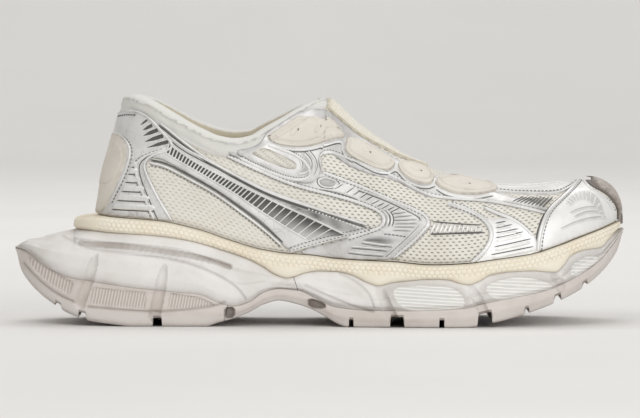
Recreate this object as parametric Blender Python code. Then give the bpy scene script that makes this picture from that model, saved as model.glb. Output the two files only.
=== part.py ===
"""A chunky slip-on running sneaker, right foot, as separate solids: rubber outsole, foam midsole,
moulded rim, insole, hollow upper and the overlays that are welded on it.

Metres. The toe points to +X, the outer side of the foot is -Y and the floor is Z = 0.
The side view is drawn with shares: along = share of shoe_length from the back of the sole,
and heights as shares of sole_height (sole) or of upper_height above the sole (upper)."""

import math

import bmesh
import bpy
import numpy as np
from mathutils import Matrix, Vector

for old in list(bpy.data.objects):
    bpy.data.objects.remove(old, do_unlink=True)

# Overall sizes
shoe_length = 0.334
sole_height = 0.059
upper_height = 0.0655
upper_ball_width = 0.098
rim_ball_width = 0.108
sole_ball_width = 0.1145

# Upper
upper_wall = 0.0024
collar_padding = 0.0034
collar_swell = 0.0016
overlay_thickness = 0.0011
pod_thickness = 0.0012
bumper_thickness = 0.0022
clearance = 0.0003
seat_clearance = 0.00055
weld_distance = 0.00002
padding_start = 0.35
padding_growth = 1.2
swell_start = 0.62
heel_lean_fade = 3.2

# Sole
footwell_lip = 0.0005
insole_thickness = 0.004
insole_gap = 0.0009
rubber_wall = 0.0032
rubber_floor = 0.0078
lug_depth = 0.0052
centre_groove_width = 0.012
centre_groove_depth = 0.0024
side_groove_depth = 0.0034
pod_bulge = 0.0012
valley_depth = 0.0026
rim_undercut = -0.0012
least_well_depth = 0.0006
insole_rounding = 0.0012
slot_mouth = 0.008
slot_taper = 0.8
centre_groove_taper = 0.8
groove_fade = 0.2

# Where the sole's front parts begin: share of shoe_length, and lean of the joint as dx/dz
rubber_joint = (0.365, 0.25)
foam_joint = (0.455, -0.35)

# Sides of the sole, from the bottom up: share of the height, and how far the side stands out
rubber_side = ((0.0, -0.0026), (0.22, -0.0004), (0.6, 0.0006), (1.0, 0.0004))
rim_side = ((0.0, rim_undercut), (0.3, 0.0006), (0.7, 0.0002), (0.93, -0.0012), (1.0, -0.0030))

# Foam below the parting line: share of that height, share of the way to the rim's outline, outset
capsule_side = ((0.35, 0.0, 0.0009), (0.75, 0.0, 0.0004), (1.0, 0.06, -0.0002))
# Foam above it: share of the rest, share of the way to the rim, share of valley_depth, share of the bulge
shelf_side = ((0.05, 0.12, 1.0, 0.0), (0.42, 0.42, 0.75, 0.4))
shelf_edge = (0.56, 0.50, 0.0002)
bulge_start = 0.36
bulge_run = 0.10

# How far forward the heel's back edge has come at a third and at two thirds of its height
heel_rake = (0.10, 0.54)

# Mesh fineness
collar_stations = 16
vamp_stations = 15
section_steps = 7
sole_stations = 24
least_turn_gap = 0.05
slope_probe = 0.002
waist_stations = (0.30, 0.345, 0.385, 0.425, 0.465, 0.51, 0.555)


def table(columns, rows):
    """Columns by name, each a numpy array."""
    return dict(zip(columns.split(), (np.array(column) for column in zip(*rows))))


# Plan outlines: half and centre are shares of the ball width, along is a share of the outline's length
upper_plan = table(
    "along half centre",
    [
        (0.000, 0.000, 0.000),
        (0.015, 0.150, 0.000),
        (0.040, 0.237, 0.000),
        (0.100, 0.313, 0.000),
        (0.180, 0.343, -0.004),
        (0.300, 0.351, -0.018),
        (0.420, 0.362, -0.041),
        (0.520, 0.398, -0.050),
        (0.620, 0.458, -0.038),
        (0.700, 0.493, -0.016),
        (0.760, 0.498, 0.004),
        (0.840, 0.469, 0.030),
        (0.910, 0.388, 0.060),
        (0.960, 0.276, 0.078),
        (0.985, 0.165, 0.086),
        (1.000, 0.000, 0.090),
    ],
)
rim_plan = table(
    "along half centre",
    [
        (0.000, 0.000, 0.000),
        (0.015, 0.165, 0.000),
        (0.045, 0.262, 0.000),
        (0.110, 0.345, 0.000),
        (0.200, 0.372, -0.004),
        (0.310, 0.368, -0.018),
        (0.430, 0.372, -0.038),
        (0.530, 0.405, -0.046),
        (0.630, 0.462, -0.034),
        (0.710, 0.495, -0.014),
        (0.770, 0.499, 0.004),
        (0.845, 0.470, 0.028),
        (0.912, 0.390, 0.055),
        (0.962, 0.277, 0.071),
        (0.986, 0.166, 0.079),
        (1.000, 0.000, 0.082),
    ],
)
sole_plan = table(
    "along half centre",
    [
        (0.000, 0.000, 0.000),
        (0.012, 0.135, 0.000),
        (0.035, 0.230, 0.000),
        (0.080, 0.320, 0.000),
        (0.140, 0.378, 0.000),
        (0.220, 0.403, 0.000),
        (0.303, 0.398, -0.010),
        (0.385, 0.380, -0.028),
        (0.467, 0.374, -0.040),
        (0.549, 0.406, -0.042),
        (0.632, 0.460, -0.026),
        (0.714, 0.496, -0.004),
        (0.796, 0.490, 0.020),
        (0.878, 0.420, 0.046),
        (0.944, 0.300, 0.066),
        (0.982, 0.172, 0.075),
        (1.000, 0.000, 0.078),
    ],
)
# Where each outline starts and ends, as shares of shoe_length
upper_span = (0.1335, 0.9925)
rim_span = (0.096, 0.9955)
sole_span = (0.0, 1.0)

# Side lines of the sole: height is a share of sole_height
floor_line = table(
    "along height",
    [
        (0.000, 0.660),
        (0.010, 0.485),
        (0.023, 0.392),
        (0.041, 0.298),
        (0.064, 0.205),
        (0.092, 0.112),
        (0.125, 0.050),
        (0.165, 0.018),
        (0.197, 0.000),
        (0.313, 0.000),
        (0.336, 0.037),
        (0.360, 0.075),
        (0.385, 0.130),
        (0.410, 0.205),
        (0.434, 0.240),
        (0.459, 0.214),
        (0.484, 0.168),
        (0.508, 0.100),
        (0.530, 0.028),
        (0.545, 0.000),
        (0.737, 0.000),
        (0.780, 0.042),
        (0.829, 0.112),
        (0.878, 0.205),
        (0.928, 0.336),
        (0.952, 0.430),
        (0.977, 0.560),
        (0.990, 0.660),
        (1.000, 0.790),
    ],
)
rubber_line = table(
    "along height",
    [
        (0.000, 0.695),
        (0.016, 0.678),
        (0.052, 0.546),
        (0.092, 0.450),
        (0.131, 0.412),
        (0.184, 0.368),
        (0.252, 0.326),
        (0.303, 0.300),
        (0.340, 0.215),
        (0.362, 0.190),
        (0.385, 0.225),
        (0.410, 0.318),
        (0.434, 0.352),
        (0.467, 0.335),
        (0.490, 0.275),
        (0.525, 0.185),
        (0.566, 0.160),
        (0.640, 0.155),
        (0.730, 0.178),
        (0.780, 0.240),
        (0.870, 0.338),
        (0.911, 0.430),
        (0.956, 0.580),
        (0.977, 0.700),
        (1.000, 0.850),
    ],
)
foam_line = table(
    "along height",
    [
        (0.000, 0.712),
        (0.008, 0.755),
        (0.021, 0.806),
        (0.040, 0.834),
        (0.079, 0.868),
        (0.110, 0.872),
        (0.150, 0.856),
        (0.237, 0.826),
        (0.288, 0.783),
        (0.336, 0.708),
        (0.382, 0.620),
        (0.408, 0.546),
        (0.428, 0.475),
        (0.447, 0.443),
        (0.460, 0.457),
        (0.474, 0.487),
        (0.500, 0.509),
        (0.526, 0.505),
        (0.551, 0.475),
        (0.577, 0.406),
        (0.595, 0.376),
        (0.617, 0.406),
        (0.643, 0.425),
        (0.682, 0.440),
        (0.707, 0.435),
        (0.727, 0.401),
        (0.740, 0.390),
        (0.757, 0.419),
        (0.775, 0.477),
        (0.808, 0.506),
        (0.845, 0.513),
        (0.870, 0.500),
        (0.883, 0.497),
        (0.896, 0.556),
        (0.909, 0.643),
        (0.934, 0.692),
        (0.959, 0.705),
        (0.979, 0.800),
        (1.000, 0.895),
    ],
)
feather_line = table(
    "along height",
    [
        (0.090, 0.985),
        (0.133, 1.000),
        (0.158, 0.990),
        (0.237, 0.960),
        (0.303, 0.881),
        (0.355, 0.783),
        (0.408, 0.697),
        (0.447, 0.665),
        (0.487, 0.650),
        (0.526, 0.621),
        (0.566, 0.606),
        (0.617, 0.595),
        (0.682, 0.567),
        (0.732, 0.578),
        (0.783, 0.615),
        (0.849, 0.671),
        (0.883, 0.727),
        (0.921, 0.802),
        (0.972, 0.899),
        (1.000, 0.955),
    ],
)
# Share of the foam's height at which the heel capsule ends and the shelf begins
parting_line = table(
    "along height",
    [
        (0.00, 0.70),
        (0.06, 0.66),
        (0.26, 0.65),
        (0.31, 0.57),
        (0.34, 0.50),
        (0.38, 0.42),
        (0.42, 0.42),
        (1.00, 0.42),
    ],
)
# Depth of the foot well under the feather line, as a share of sole_height
footwell_line = table(
    "along height",
    [(0.10, 0.085), (0.30, 0.095), (0.50, 0.090), (0.70, 0.082), (0.90, 0.070), (1.0, 0.060)],
)

# Upright grooves between the pods of the sole. along is where each meets the rubber, lean is dx/dz.
grooves = table(
    "along lean width bottom top",
    [
        (0.122, 0.29, 0.0120, 0.0, 0.60),
        (0.240, 0.14, 0.0120, 0.0, 0.58),
        (0.612, -0.52, 0.0095, 0.0, 1.0),
        (0.762, -0.55, 0.0095, 0.0, 1.0),
        (0.893, -0.60, 0.0085, 0.0, 1.0),
    ],
)

# Slots across the tread: along, width in metres, depth as a share of lug_depth
tread_slots = table(
    "along width depth",
    [
        (0.075, 0.0035, 0.45),
        (0.115, 0.0045, 0.70),
        (0.237, 0.0052, 0.90),
        (0.551, 0.0026, 0.85),
        (0.625, 0.0075, 1.15),
        (0.697, 0.0028, 0.85),
        (0.767, 0.0078, 1.25),
        (0.835, 0.0026, 0.60),
        (0.886, 0.0040, 0.70),
        (0.932, 0.0030, 0.50),
    ],
)

# Upper: heights of the top edge are shares of upper_height above sole_height,
# opening is a share of upper_ball_width
collar_line = table(
    "along outer inner opening",
    [
        (0.184, 1.000, 1.000, 0.000),
        (0.192, 1.004, 1.004, 0.092),
        (0.212, 0.980, 0.984, 0.184),
        (0.237, 0.920, 0.930, 0.250),
        (0.262, 0.846, 0.862, 0.286),
        (0.286, 0.774, 0.797, 0.306),
        (0.311, 0.707, 0.741, 0.316),
        (0.336, 0.655, 0.700, 0.321),
        (0.360, 0.636, 0.683, 0.316),
        (0.385, 0.655, 0.692, 0.306),
        (0.408, 0.720, 0.745, 0.286),
        (0.434, 0.795, 0.812, 0.250),
        (0.461, 0.879, 0.888, 0.204),
        (0.487, 0.945, 0.948, 0.133),
        (0.500, 0.967, 0.968, 0.082),
        (0.510, 0.976, 0.976, 0.000),
    ],
)
ridge_line = table(
    "along height",
    [
        (0.510, 0.970),
        (0.522, 0.925),
        (0.533, 0.876),
        (0.558, 0.757),
        (0.582, 0.662),
        (0.607, 0.583),
        (0.632, 0.502),
        (0.681, 0.400),
        (0.730, 0.318),
        (0.780, 0.262),
        (0.829, 0.250),
        (0.878, 0.264),
        (0.928, 0.276),
        (0.950, 0.272),
        (0.968, 0.240),
        (0.980, 0.190),
        (0.988, 0.115),
        (0.9915, 0.040),
        (0.9925, -0.040),
    ],
)
# Shape of a section: bulge of the side, how high it stands upright, how wide the top is, and its drop
section_shape = table(
    "along bulge upright shoulder drop",
    [
        (0.133, 0.00, 0.30, 0.60, 0.30),
        (0.200, 0.03, 0.34, 0.42, 0.34),
        (0.300, 0.05, 0.36, 0.40, 0.34),
        (0.400, 0.04, 0.38, 0.40, 0.30),
        (0.460, 0.02, 0.42, 0.42, 0.20),
        (0.510, 0.00, 0.44, 0.62, 0.06),
        (0.560, 0.00, 0.46, 0.58, 0.02),
        (0.640, 0.01, 0.52, 0.56, 0.00),
        (0.740, 0.02, 0.58, 0.60, 0.00),
        (0.860, 0.02, 0.62, 0.68, 0.00),
        (1.000, 0.00, 0.70, 0.70, 0.00),
    ],
)

# Half width of the stretch strip on top of the instep, in metres
strip_line = table("along half", [(0.513, 0.0130), (0.560, 0.0125), (0.620, 0.0105), (0.677, 0.0060)])

# Overlays in the side view: along is a share of shoe_length, height a share of upper_height above the sole
heel_counter_outline = [
    (0.105, 0.863), (0.184, 0.863), (0.216, 0.812), (0.240, 0.703), (0.237, 0.602), (0.221, 0.544),
    (0.211, 0.434), (0.214, 0.308), (0.231, 0.149), (0.254, -0.036), (0.257, -0.200), (0.072, -0.200),
]
heel_patch_outline = [
    (0.105, 0.686), (0.163, 0.686), (0.181, 0.636), (0.188, 0.544), (0.184, 0.426), (0.171, 0.275),
    (0.152, 0.060), (0.146, -0.200), (0.072, -0.200),
]
side_stripe_outline = [
    (0.247, 0.690), (0.259, 0.690), (0.280, 0.602), (0.324, 0.418), (0.374, 0.283), (0.426, 0.157),
    (0.501, 0.040), (0.572, -0.098), (0.487, -0.226), (0.453, -0.290), (0.428, -0.128), (0.374, 0.090),
    (0.336, 0.224), (0.280, 0.392), (0.249, 0.490),
]
side_panel_outline = [
    (0.347, 0.569), (0.399, 0.476), (0.451, 0.376), (0.487, 0.345), (0.534, 0.292), (0.586, 0.224),
    (0.632, 0.115), (0.660, 0.023), (0.667, -0.061), (0.639, -0.195), (0.601, -0.355), (0.461, -0.345),
    (0.493, -0.285), (0.534, -0.232), (0.586, -0.150), (0.590, -0.085), (0.558, -0.040), (0.509, 0.070),
    (0.451, 0.180), (0.399, 0.290), (0.362, 0.400),
]
side_window_outline = [
    (0.415, 0.340), (0.468, 0.270), (0.534, 0.186), (0.586, 0.104), (0.600, 0.030), (0.592, -0.020),
    (0.550, 0.035), (0.492, 0.140), (0.435, 0.255),
]
forefoot_panel_outline = [
    (0.687, 0.200), (0.731, 0.120), (0.776, 0.065), (0.813, 0.010), (0.848, -0.061), (0.845, -0.330),
    (0.748, -0.420), (0.766, -0.263), (0.779, -0.145), (0.771, -0.037), (0.734, 0.035), (0.687, 0.115),
]
eyestay_outline = [
    (0.412, 0.728), (0.440, 0.830), (0.500, 0.930), (0.560, 0.860), (0.640, 0.600), (0.720, 0.400),
    (0.780, 0.330), (0.781, 0.170), (0.744, 0.145), (0.698, 0.215), (0.665, 0.230), (0.629, 0.308),
    (0.586, 0.359), (0.543, 0.426), (0.530, 0.500), (0.509, 0.470), (0.497, 0.410), (0.474, 0.430),
    (0.461, 0.527), (0.428, 0.611),
]
vamp_band_outline = [
    (0.786, 0.450), (0.945, 0.450), (0.921, 0.260), (0.902, 0.140), (0.880, 0.110), (0.830, 0.150),
    (0.786, 0.170),
]
toe_cap_outline = [
    (0.953, 0.460), (0.914, 0.140), (0.885, 0.030), (0.864, -0.080), (0.856, -0.212), (0.852, -0.420),
    (1.020, -0.420), (1.020, -0.040), (0.990, 0.000), (0.972, 0.130), (0.955, 0.240),
]
toe_bumper_outline = [
    (0.957, 0.460), (1.028, 0.460), (1.028, -0.020), (0.993, 0.015), (0.975, 0.150), (0.959, 0.250),
]
pod_outlines = [
    [
        (0.415, 0.703), (0.435, 0.787), (0.473, 0.837), (0.514, 0.815), (0.538, 0.725), (0.517, 0.644),
        (0.476, 0.585), (0.440, 0.602),
    ],
    [
        (0.545, 0.635), (0.566, 0.650), (0.604, 0.560), (0.629, 0.455), (0.626, 0.376), (0.596, 0.401),
        (0.553, 0.485),
    ],
    [(0.637, 0.426), (0.661, 0.400), (0.688, 0.335), (0.686, 0.258), (0.657, 0.266), (0.638, 0.334)],
    [(0.695, 0.325), (0.739, 0.290), (0.776, 0.240), (0.769, 0.180), (0.734, 0.174), (0.706, 0.224)],
]


def smooth(curve, column, at):
    """Cubic through a table's rows with no overshoot between them. The first column is the position."""
    xs, ys = list(curve.values())[0], curve[column]
    return cubic(xs, ys, at)


def cubic(xs, ys, at):
    steps = np.diff(xs)
    rises = np.diff(ys) / steps
    slopes = np.concatenate([rises[:1], np.zeros(len(xs) - 2), rises[-1:]])
    for i in range(1, len(xs) - 1):
        if rises[i - 1] * rises[i] > 0:
            before = 2 * steps[i] + steps[i - 1]
            after = steps[i] + 2 * steps[i - 1]
            slopes[i] = (before + after) / (before / rises[i - 1] + after / rises[i])
    at = float(np.clip(at, xs[0], xs[-1]))
    i = int(np.clip(np.searchsorted(xs, at) - 1, 0, len(xs) - 2))
    t = (at - xs[i]) / steps[i]
    rise = ys[i] * (2 * t**3 - 3 * t**2 + 1) + ys[i + 1] * (3 * t**2 - 2 * t**3)
    return rise + steps[i] * (slopes[i] * (t**3 - 2 * t**2 + t) + slopes[i + 1] * (t**3 - t**2))


def turn_of(share):
    """The angle that goes with a share of an outline's length: rows crowd towards both round ends."""
    return math.acos(1 - 2 * min(max(share, 0.0), 1.0))


def share_of(turn):
    return (1 - math.cos(turn)) / 2


class Outline:
    """A plan outline, symmetric in nothing: a half width about a curved centre line."""

    def __init__(self, plan, span, ball_width):
        self.turns = np.array([turn_of(a) for a in plan["along"]])
        self.plan = plan
        self.start, self.end = (s * shoe_length for s in span)
        self.width = ball_width

    def base(self, turn, side):
        x = self.start + (self.end - self.start) * share_of(turn)
        half = cubic(self.turns, self.plan["half"], turn) * self.width
        centre = cubic(self.turns, self.plan["centre"], turn) * self.width
        return Vector((x, centre + side * half, 0.0))

    def at(self, turn, side, outset=0.0):
        """Point of the outline moved outwards. side is -1 on the outer side of the foot and +1 inside."""
        point = self.base(turn, side)
        if not outset:
            return point
        small = 0.004
        before, after = max(turn - small, 0.0), min(turn + small, math.pi)
        tangent = self.base(after, side) - self.base(before, side)
        if turn < small or turn > math.pi - small:
            tangent = Vector((0.0, side * (1 if turn < small else -1), 0.0))
        normal = Vector((-tangent.y, tangent.x, 0.0)).normalized() * side
        return point + normal * outset

    def turn_at(self, x):
        return turn_of((x - self.start) / (self.end - self.start))


upper_outline = Outline(upper_plan, upper_span, upper_ball_width)
rim_outline = Outline(rim_plan, rim_span, rim_ball_width)
sole_outline = Outline(sole_plan, sole_span, sole_ball_width)


def sole_z(line, x):
    return smooth(line, "height", x / shoe_length) * sole_height


def top_z(share):
    return sole_height + share * upper_height


# Building


def material(name, colour, roughness, metallic=0.0):
    made = bpy.data.materials.new(name)
    made.use_nodes = True
    shader = made.node_tree.nodes["Principled BSDF"]
    shader.inputs["Base Color"].default_value = (*colour, 1.0)
    shader.inputs["Roughness"].default_value = roughness
    shader.inputs["Metallic"].default_value = metallic
    return made


cream_mesh = material("cream_mesh", (0.74, 0.69, 0.58), 0.85)
silver_film = material("silver_film", (0.62, 0.62, 0.61), 0.32, 0.75)
beige_rubber = material("beige_rubber", (0.72, 0.66, 0.57), 0.55)
cream_foam = material("cream_foam", (0.80, 0.72, 0.55), 0.6)
white_foam = material("white_foam", (0.82, 0.80, 0.78), 0.5)
outsole_rubber = material("outsole_rubber", (0.66, 0.61, 0.57), 0.6)
bumper_rubber = material("bumper_rubber", (0.62, 0.58, 0.53), 0.6)
stretch_knit = material("stretch_knit", (0.82, 0.77, 0.63), 0.85)
lining_cloth = material("lining_cloth", (0.70, 0.64, 0.52), 0.9)


def object_from(name, build, finish):
    """Object from a bmesh, with the faces turned outwards and the doubles merged."""
    bmesh.ops.remove_doubles(build, verts=build.verts, dist=1e-6)
    bmesh.ops.dissolve_degenerate(build, dist=1e-6, edges=build.edges)
    bmesh.ops.recalc_face_normals(build, faces=build.faces)
    if build.calc_volume(signed=True) < 0:
        bmesh.ops.reverse_faces(build, faces=build.faces)
    mesh = bpy.data.meshes.new(name)
    build.to_mesh(mesh)
    build.free()
    mesh.materials.append(finish)
    mesh.shade_smooth()
    mesh.set_sharp_from_angle(angle=math.radians(35))
    made = bpy.data.objects.new(name, mesh)
    bpy.context.scene.collection.objects.link(made)
    return made


def loft(name, rings, finish, cap_start=False, cap_end=False):
    """Solid through closed rings of points. A ring whose two sides meet closes by itself."""
    build = bmesh.new()
    rows = [[build.verts.new(point) for point in ring] for ring in rings]
    for near, far in zip(rows, rows[1:]):
        for k in range(len(near)):
            after = (k + 1) % len(near)
            build.faces.new((near[k], near[after], far[after], far[k]))
    if cap_start:
        build.faces.new(rows[0])
    if cap_end:
        build.faces.new(rows[-1])
    return object_from(name, build, finish)


def prism(outline, direction, reach):
    """Cutter: a closed outline of points swept both ways along a direction."""
    build = bmesh.new()
    push = Vector(direction).normalized() * reach
    near = [build.verts.new(point - push) for point in outline]
    far = [build.verts.new(point + push) for point in outline]
    for k in range(len(near)):
        after = (k + 1) % len(near)
        build.faces.new((near[k], near[after], far[after], far[k]))
    build.faces.new(near)
    build.faces.new(far)
    made = object_from("cutter", build, cream_mesh)
    made.hide_render = True
    made.display_type = "WIRE"
    return made


def cut(target, cutter, operation):
    """Boolean that is applied at once, and its cutter removed."""
    modifier = target.modifiers.new(operation.lower(), "BOOLEAN")
    modifier.operation = operation
    modifier.solver = "EXACT"
    modifier.object = cutter
    graph = bpy.context.evaluated_depsgraph_get()
    result = bpy.data.meshes.new_from_object(target.evaluated_get(graph))
    target.modifiers.clear()
    build = bmesh.new()
    build.from_mesh(result)
    bmesh.ops.remove_doubles(build, verts=build.verts, dist=weld_distance)
    bmesh.ops.dissolve_degenerate(build, dist=weld_distance, edges=build.edges)
    build.to_mesh(result)
    build.free()
    target.data = result
    bpy.data.objects.remove(cutter, do_unlink=True)


def copy_of(source, name):
    made = bpy.data.objects.new(name, source.data.copy())
    bpy.context.scene.collection.objects.link(made)
    return made


def side_points(outline):
    """A side-view outline as points on the plane Y = 0."""
    return [Vector((along * shoe_length, 0.0, top_z(height))) for along, height in outline]


# Sole


def groove_at(along, share):
    """How deep the upright grooves cut at a place on the sole's side, 0 to 1."""
    found = 0.0
    for at, width, bottom, top in zip(*(grooves[c] for c in ("along", "width", "bottom", "top"))):
        off = abs(along - at) * shoe_length / (width / 2)
        if off < 1 and bottom <= share <= top:
            fade = 1.0 if top >= 1 else min(1.0, (top - share) / groove_fade)
            found = max(found, (1 - off) * fade)
    return found


def sole_turns():
    """Stations along the sole: even ones, some in the waist, and three at each groove."""
    turns = [math.pi * i / sole_stations for i in range(sole_stations + 1)]
    special = []
    for at, width in zip(grooves["along"], grooves["width"]):
        for shift in (-0.5, 0.0, 0.5):
            special.append(sole_outline.turn_at(at * shoe_length + shift * width))
    special += [sole_outline.turn_at(at * shoe_length) for at in waist_stations]
    ends = (turns[0], turns[-1])
    kept = [t for t in turns if min(abs(t - s) for s in special) > least_turn_gap or t in ends]
    return sorted(kept + special)


def lean_at(along):
    return cubic(
        np.concatenate([[0.0], grooves["along"][:2], [0.4], grooves["along"][2:], [1.0]]),
        np.concatenate([[0.0], grooves["lean"][:2], [0.0], grooves["lean"][2:], [0.0]]),
        along,
    )


def leaned(turn, rise):
    """The station's angle, moved along the sole by the lean of the grooves at that height."""
    if turn <= 0 or turn >= math.pi:
        return turn
    x = sole_outline.base(turn, 1).x
    fade = min(1.0, 12 * turn / math.pi, 12 * (math.pi - turn) / math.pi)
    return sole_outline.turn_at(x + lean_at(x / shoe_length) * rise * fade)


def sole_rise(turn, line):
    x = sole_outline.base(turn, 1).x
    return sole_z(line, x) - sole_z(floor_line, x)


def well_corner(turn, sign):
    """Inner edge of the rubber's wall and the height of the well's floor there."""
    groove = groove_at(sole_outline.base(turn, 1).x / shoe_length, 0.0) * side_groove_depth
    edge = sole_outline.at(leaned(turn, sole_rise(turn, rubber_line)), sign, -rubber_wall - groove)
    edge.z = sole_z(rubber_line, edge.x)
    return edge, min(sole_z(floor_line, edge.x) + rubber_floor, edge.z - least_well_depth)


def outsole_ring(turn):
    """Cup of rubber: grooved floor, side wall, and a well that the foam fills."""

    def side(sign):
        groove = groove_at(sole_outline.base(turn, 1).x / shoe_length, 0.0) * side_groove_depth
        points = []
        for share, outset in rubber_side:
            rise = sole_rise(turn, rubber_line) * share
            place = sole_outline.at(leaned(turn, rise), sign, outset - groove * min(1.0, share * 4))
            low, top = sole_z(floor_line, place.x), sole_z(rubber_line, place.x)
            points.append(Vector((place.x, place.y, low + (top - low) * share)))
        edge, well = well_corner(turn, sign)
        points.append(edge)
        points.append(Vector((edge.x, edge.y, well)))
        return points

    outer, inner = side(-1), side(1)
    centre = (outer[0] + inner[0]) / 2
    reach = min(centre_groove_width / 2, abs(inner[0].y - centre.y) * 0.4)
    depth = centre_groove_depth * min(1.0, max(0.0, reach / (centre_groove_width / 2) - 0.4) / 0.6)
    low = sole_z(floor_line, centre.x)
    narrow = reach * centre_groove_taper
    floor = [
        Vector((centre.x, centre.y + reach, low)),
        Vector((centre.x, centre.y + narrow, low + depth)),
        Vector((centre.x, centre.y - narrow, low + depth)),
        Vector((centre.x, centre.y - reach, low)),
    ]
    return outer + inner[::-1] + floor


def build_outsole():
    rubber = loft("outsole_form", [outsole_ring(t) for t in sole_turns()], outsole_rubber)
    for along, width, depth in zip(*(tread_slots[c] for c in ("along", "width", "depth"))):
        x = along * shoe_length
        low = sole_z(floor_line, x)
        climb = sole_z(floor_line, x + slope_probe) - sole_z(floor_line, x - slope_probe)
        slope = climb / (2 * slope_probe)
        axis = Vector((1.0, 0.0, slope)).normalized()
        up = Vector((-axis.z, 0.0, axis.x))
        base = Vector((x, 0.0, low))
        half, rise = axis * width / 2, up * lug_depth * depth
        sunk = up * -slot_mouth
        narrow = half * slot_taper
        corners = [base - half + sunk, base + half + sunk, base + narrow + rise, base - narrow + rise]
        cut(rubber, prism(corners, (0, 1, 0), sole_ball_width), "DIFFERENCE")
    return rubber


def midsole_levels(along):
    """Levels up the foam's side: share of its height, share of the way to the rim's outline, outset."""
    part = smooth(parting_line, "height", along)
    fore = min(1.0, max(0.0, (along - bulge_start) / bulge_run))
    valley = valley_depth * (1 - fore)
    bulge = pod_bulge * fore
    levels = [(0.0, 0.0, 0.0)]
    for share, towards, outset in capsule_side:
        levels.append((part * share, towards, outset + bulge))
    for share, towards, sunk, swell in shelf_side:
        levels.append((part + share * (1 - part), towards, bulge * swell - valley * sunk))
    share, towards, outset = shelf_edge
    levels.append((part + share * (1 - part), towards, outset))
    levels.append((1.0, 1.0, 0.0))
    return levels


def midsole_ring(turn):
    """Foam between the rubber and the rim, with a foot that fills the rubber's well."""

    def side(sign):
        along = sole_outline.base(turn, 1).x / shoe_length
        edge, well = well_corner(turn, sign)
        groove = groove_at(along, 0.0) * side_groove_depth
        low, high = sole_rise(turn, rubber_line), sole_rise(turn, foam_line)
        foot = sole_outline.at(leaned(turn, low), sign, -rubber_wall - clearance - groove)
        points = [
            Vector((foot.x, foot.y, well + clearance)),
            Vector((foot.x, foot.y, edge.z + seat_clearance)),
        ]
        for share, towards, outset in midsole_levels(along):
            at = leaned(turn, low + (high - low) * share)
            groove = groove_at(along, share) * side_groove_depth
            rim_place = rim_outline.at(at, sign, rim_undercut)
            place = sole_outline.at(at, sign, outset - groove).lerp(rim_place, towards)
            lowest, highest = sole_z(rubber_line, place.x) + seat_clearance, sole_z(foam_line, place.x)
            points.append(Vector((place.x, place.y, lowest + (highest - lowest) * share)))
        return points

    outer, inner = side(-1), side(1)
    return outer + inner[::-1]


def rim_ring(turn):
    """The moulded rim: a tray whose floor carries the insole, and whose edge carries the upper."""

    def side(sign):
        points = []
        for share, outset in rim_side:
            place = rim_outline.at(turn, sign, outset)
            low, high = sole_z(foam_line, place.x) + seat_clearance, sole_z(feather_line, place.x)
            points.append(Vector((place.x, place.y, low + (high - low) * share)))
        lip = upper_outline.at(turn, sign, -upper_wall - footwell_lip)
        depth = smooth(footwell_line, "height", lip.x / shoe_length) * sole_height
        points.append(Vector((lip.x, lip.y, sole_z(feather_line, lip.x))))
        points.append(Vector((lip.x, lip.y, sole_z(feather_line, lip.x) - depth)))
        return points

    outer, inner = side(-1), side(1)
    return outer + inner[::-1]


def insole_ring(turn):
    def side(sign):
        edge = -upper_wall - footwell_lip - insole_gap
        place = upper_outline.at(turn, sign, edge)
        inset = upper_outline.at(turn, sign, edge - insole_rounding)
        depth = smooth(footwell_line, "height", place.x / shoe_length) * sole_height
        low = sole_z(feather_line, place.x) - depth + clearance
        return [
            Vector((place.x, place.y, low)),
            Vector((place.x, place.y, low + insole_thickness * 0.7)),
            Vector((inset.x, inset.y, low + insole_thickness)),
        ]

    outer, inner = side(-1), side(1)
    return outer + inner[::-1]


def split(form, joint, names, finish):
    """The form cut across by a leaning plane into a rear and a front solid with the usual gap."""
    along, lean = joint
    low, high, reach = -sole_height, sole_height * 2, shoe_length * 1.2
    for name, side in zip(names, (1, -1)):
        piece = copy_of(form, name)
        start = along * shoe_length - side * clearance / 2
        corners = [
            Vector((start + lean * (low - sole_height / 2), 0, low)),
            Vector((start + lean * (high - sole_height / 2), 0, high)),
            Vector((start + side * reach, 0, high)),
            Vector((start + side * reach, 0, low)),
        ]
        cut(piece, prism(corners, (0, 1, 0), sole_ball_width), "DIFFERENCE")
        piece.data.materials.clear()
        piece.data.materials.append(finish)
    bpy.data.objects.remove(form, do_unlink=True)


# Upper


def upper_stations():
    """Shares along the top edge: crowded at the heel, at the front of the collar and at the toe."""
    start, middle, end = collar_line["along"][0], collar_line["along"][-1], ridge_line["along"][-1]
    stations = []
    for i in range(collar_stations):
        stations.append(start + (middle - start) * share_of(math.pi * i / collar_stations))
    for i in range(vamp_stations + 1):
        stations.append(middle + (end - middle) * math.sin(math.pi / 2 * i / vamp_stations))
    return stations


def base_share(top):
    """Where a section that reaches the top edge at this share stands on the sole."""
    start, end = collar_line["along"][0], ridge_line["along"][-1]
    share = (top - start) / (end - start)
    lean = start - upper_span[0]
    return top - lean * (1 - share) ** heel_lean_fade


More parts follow.
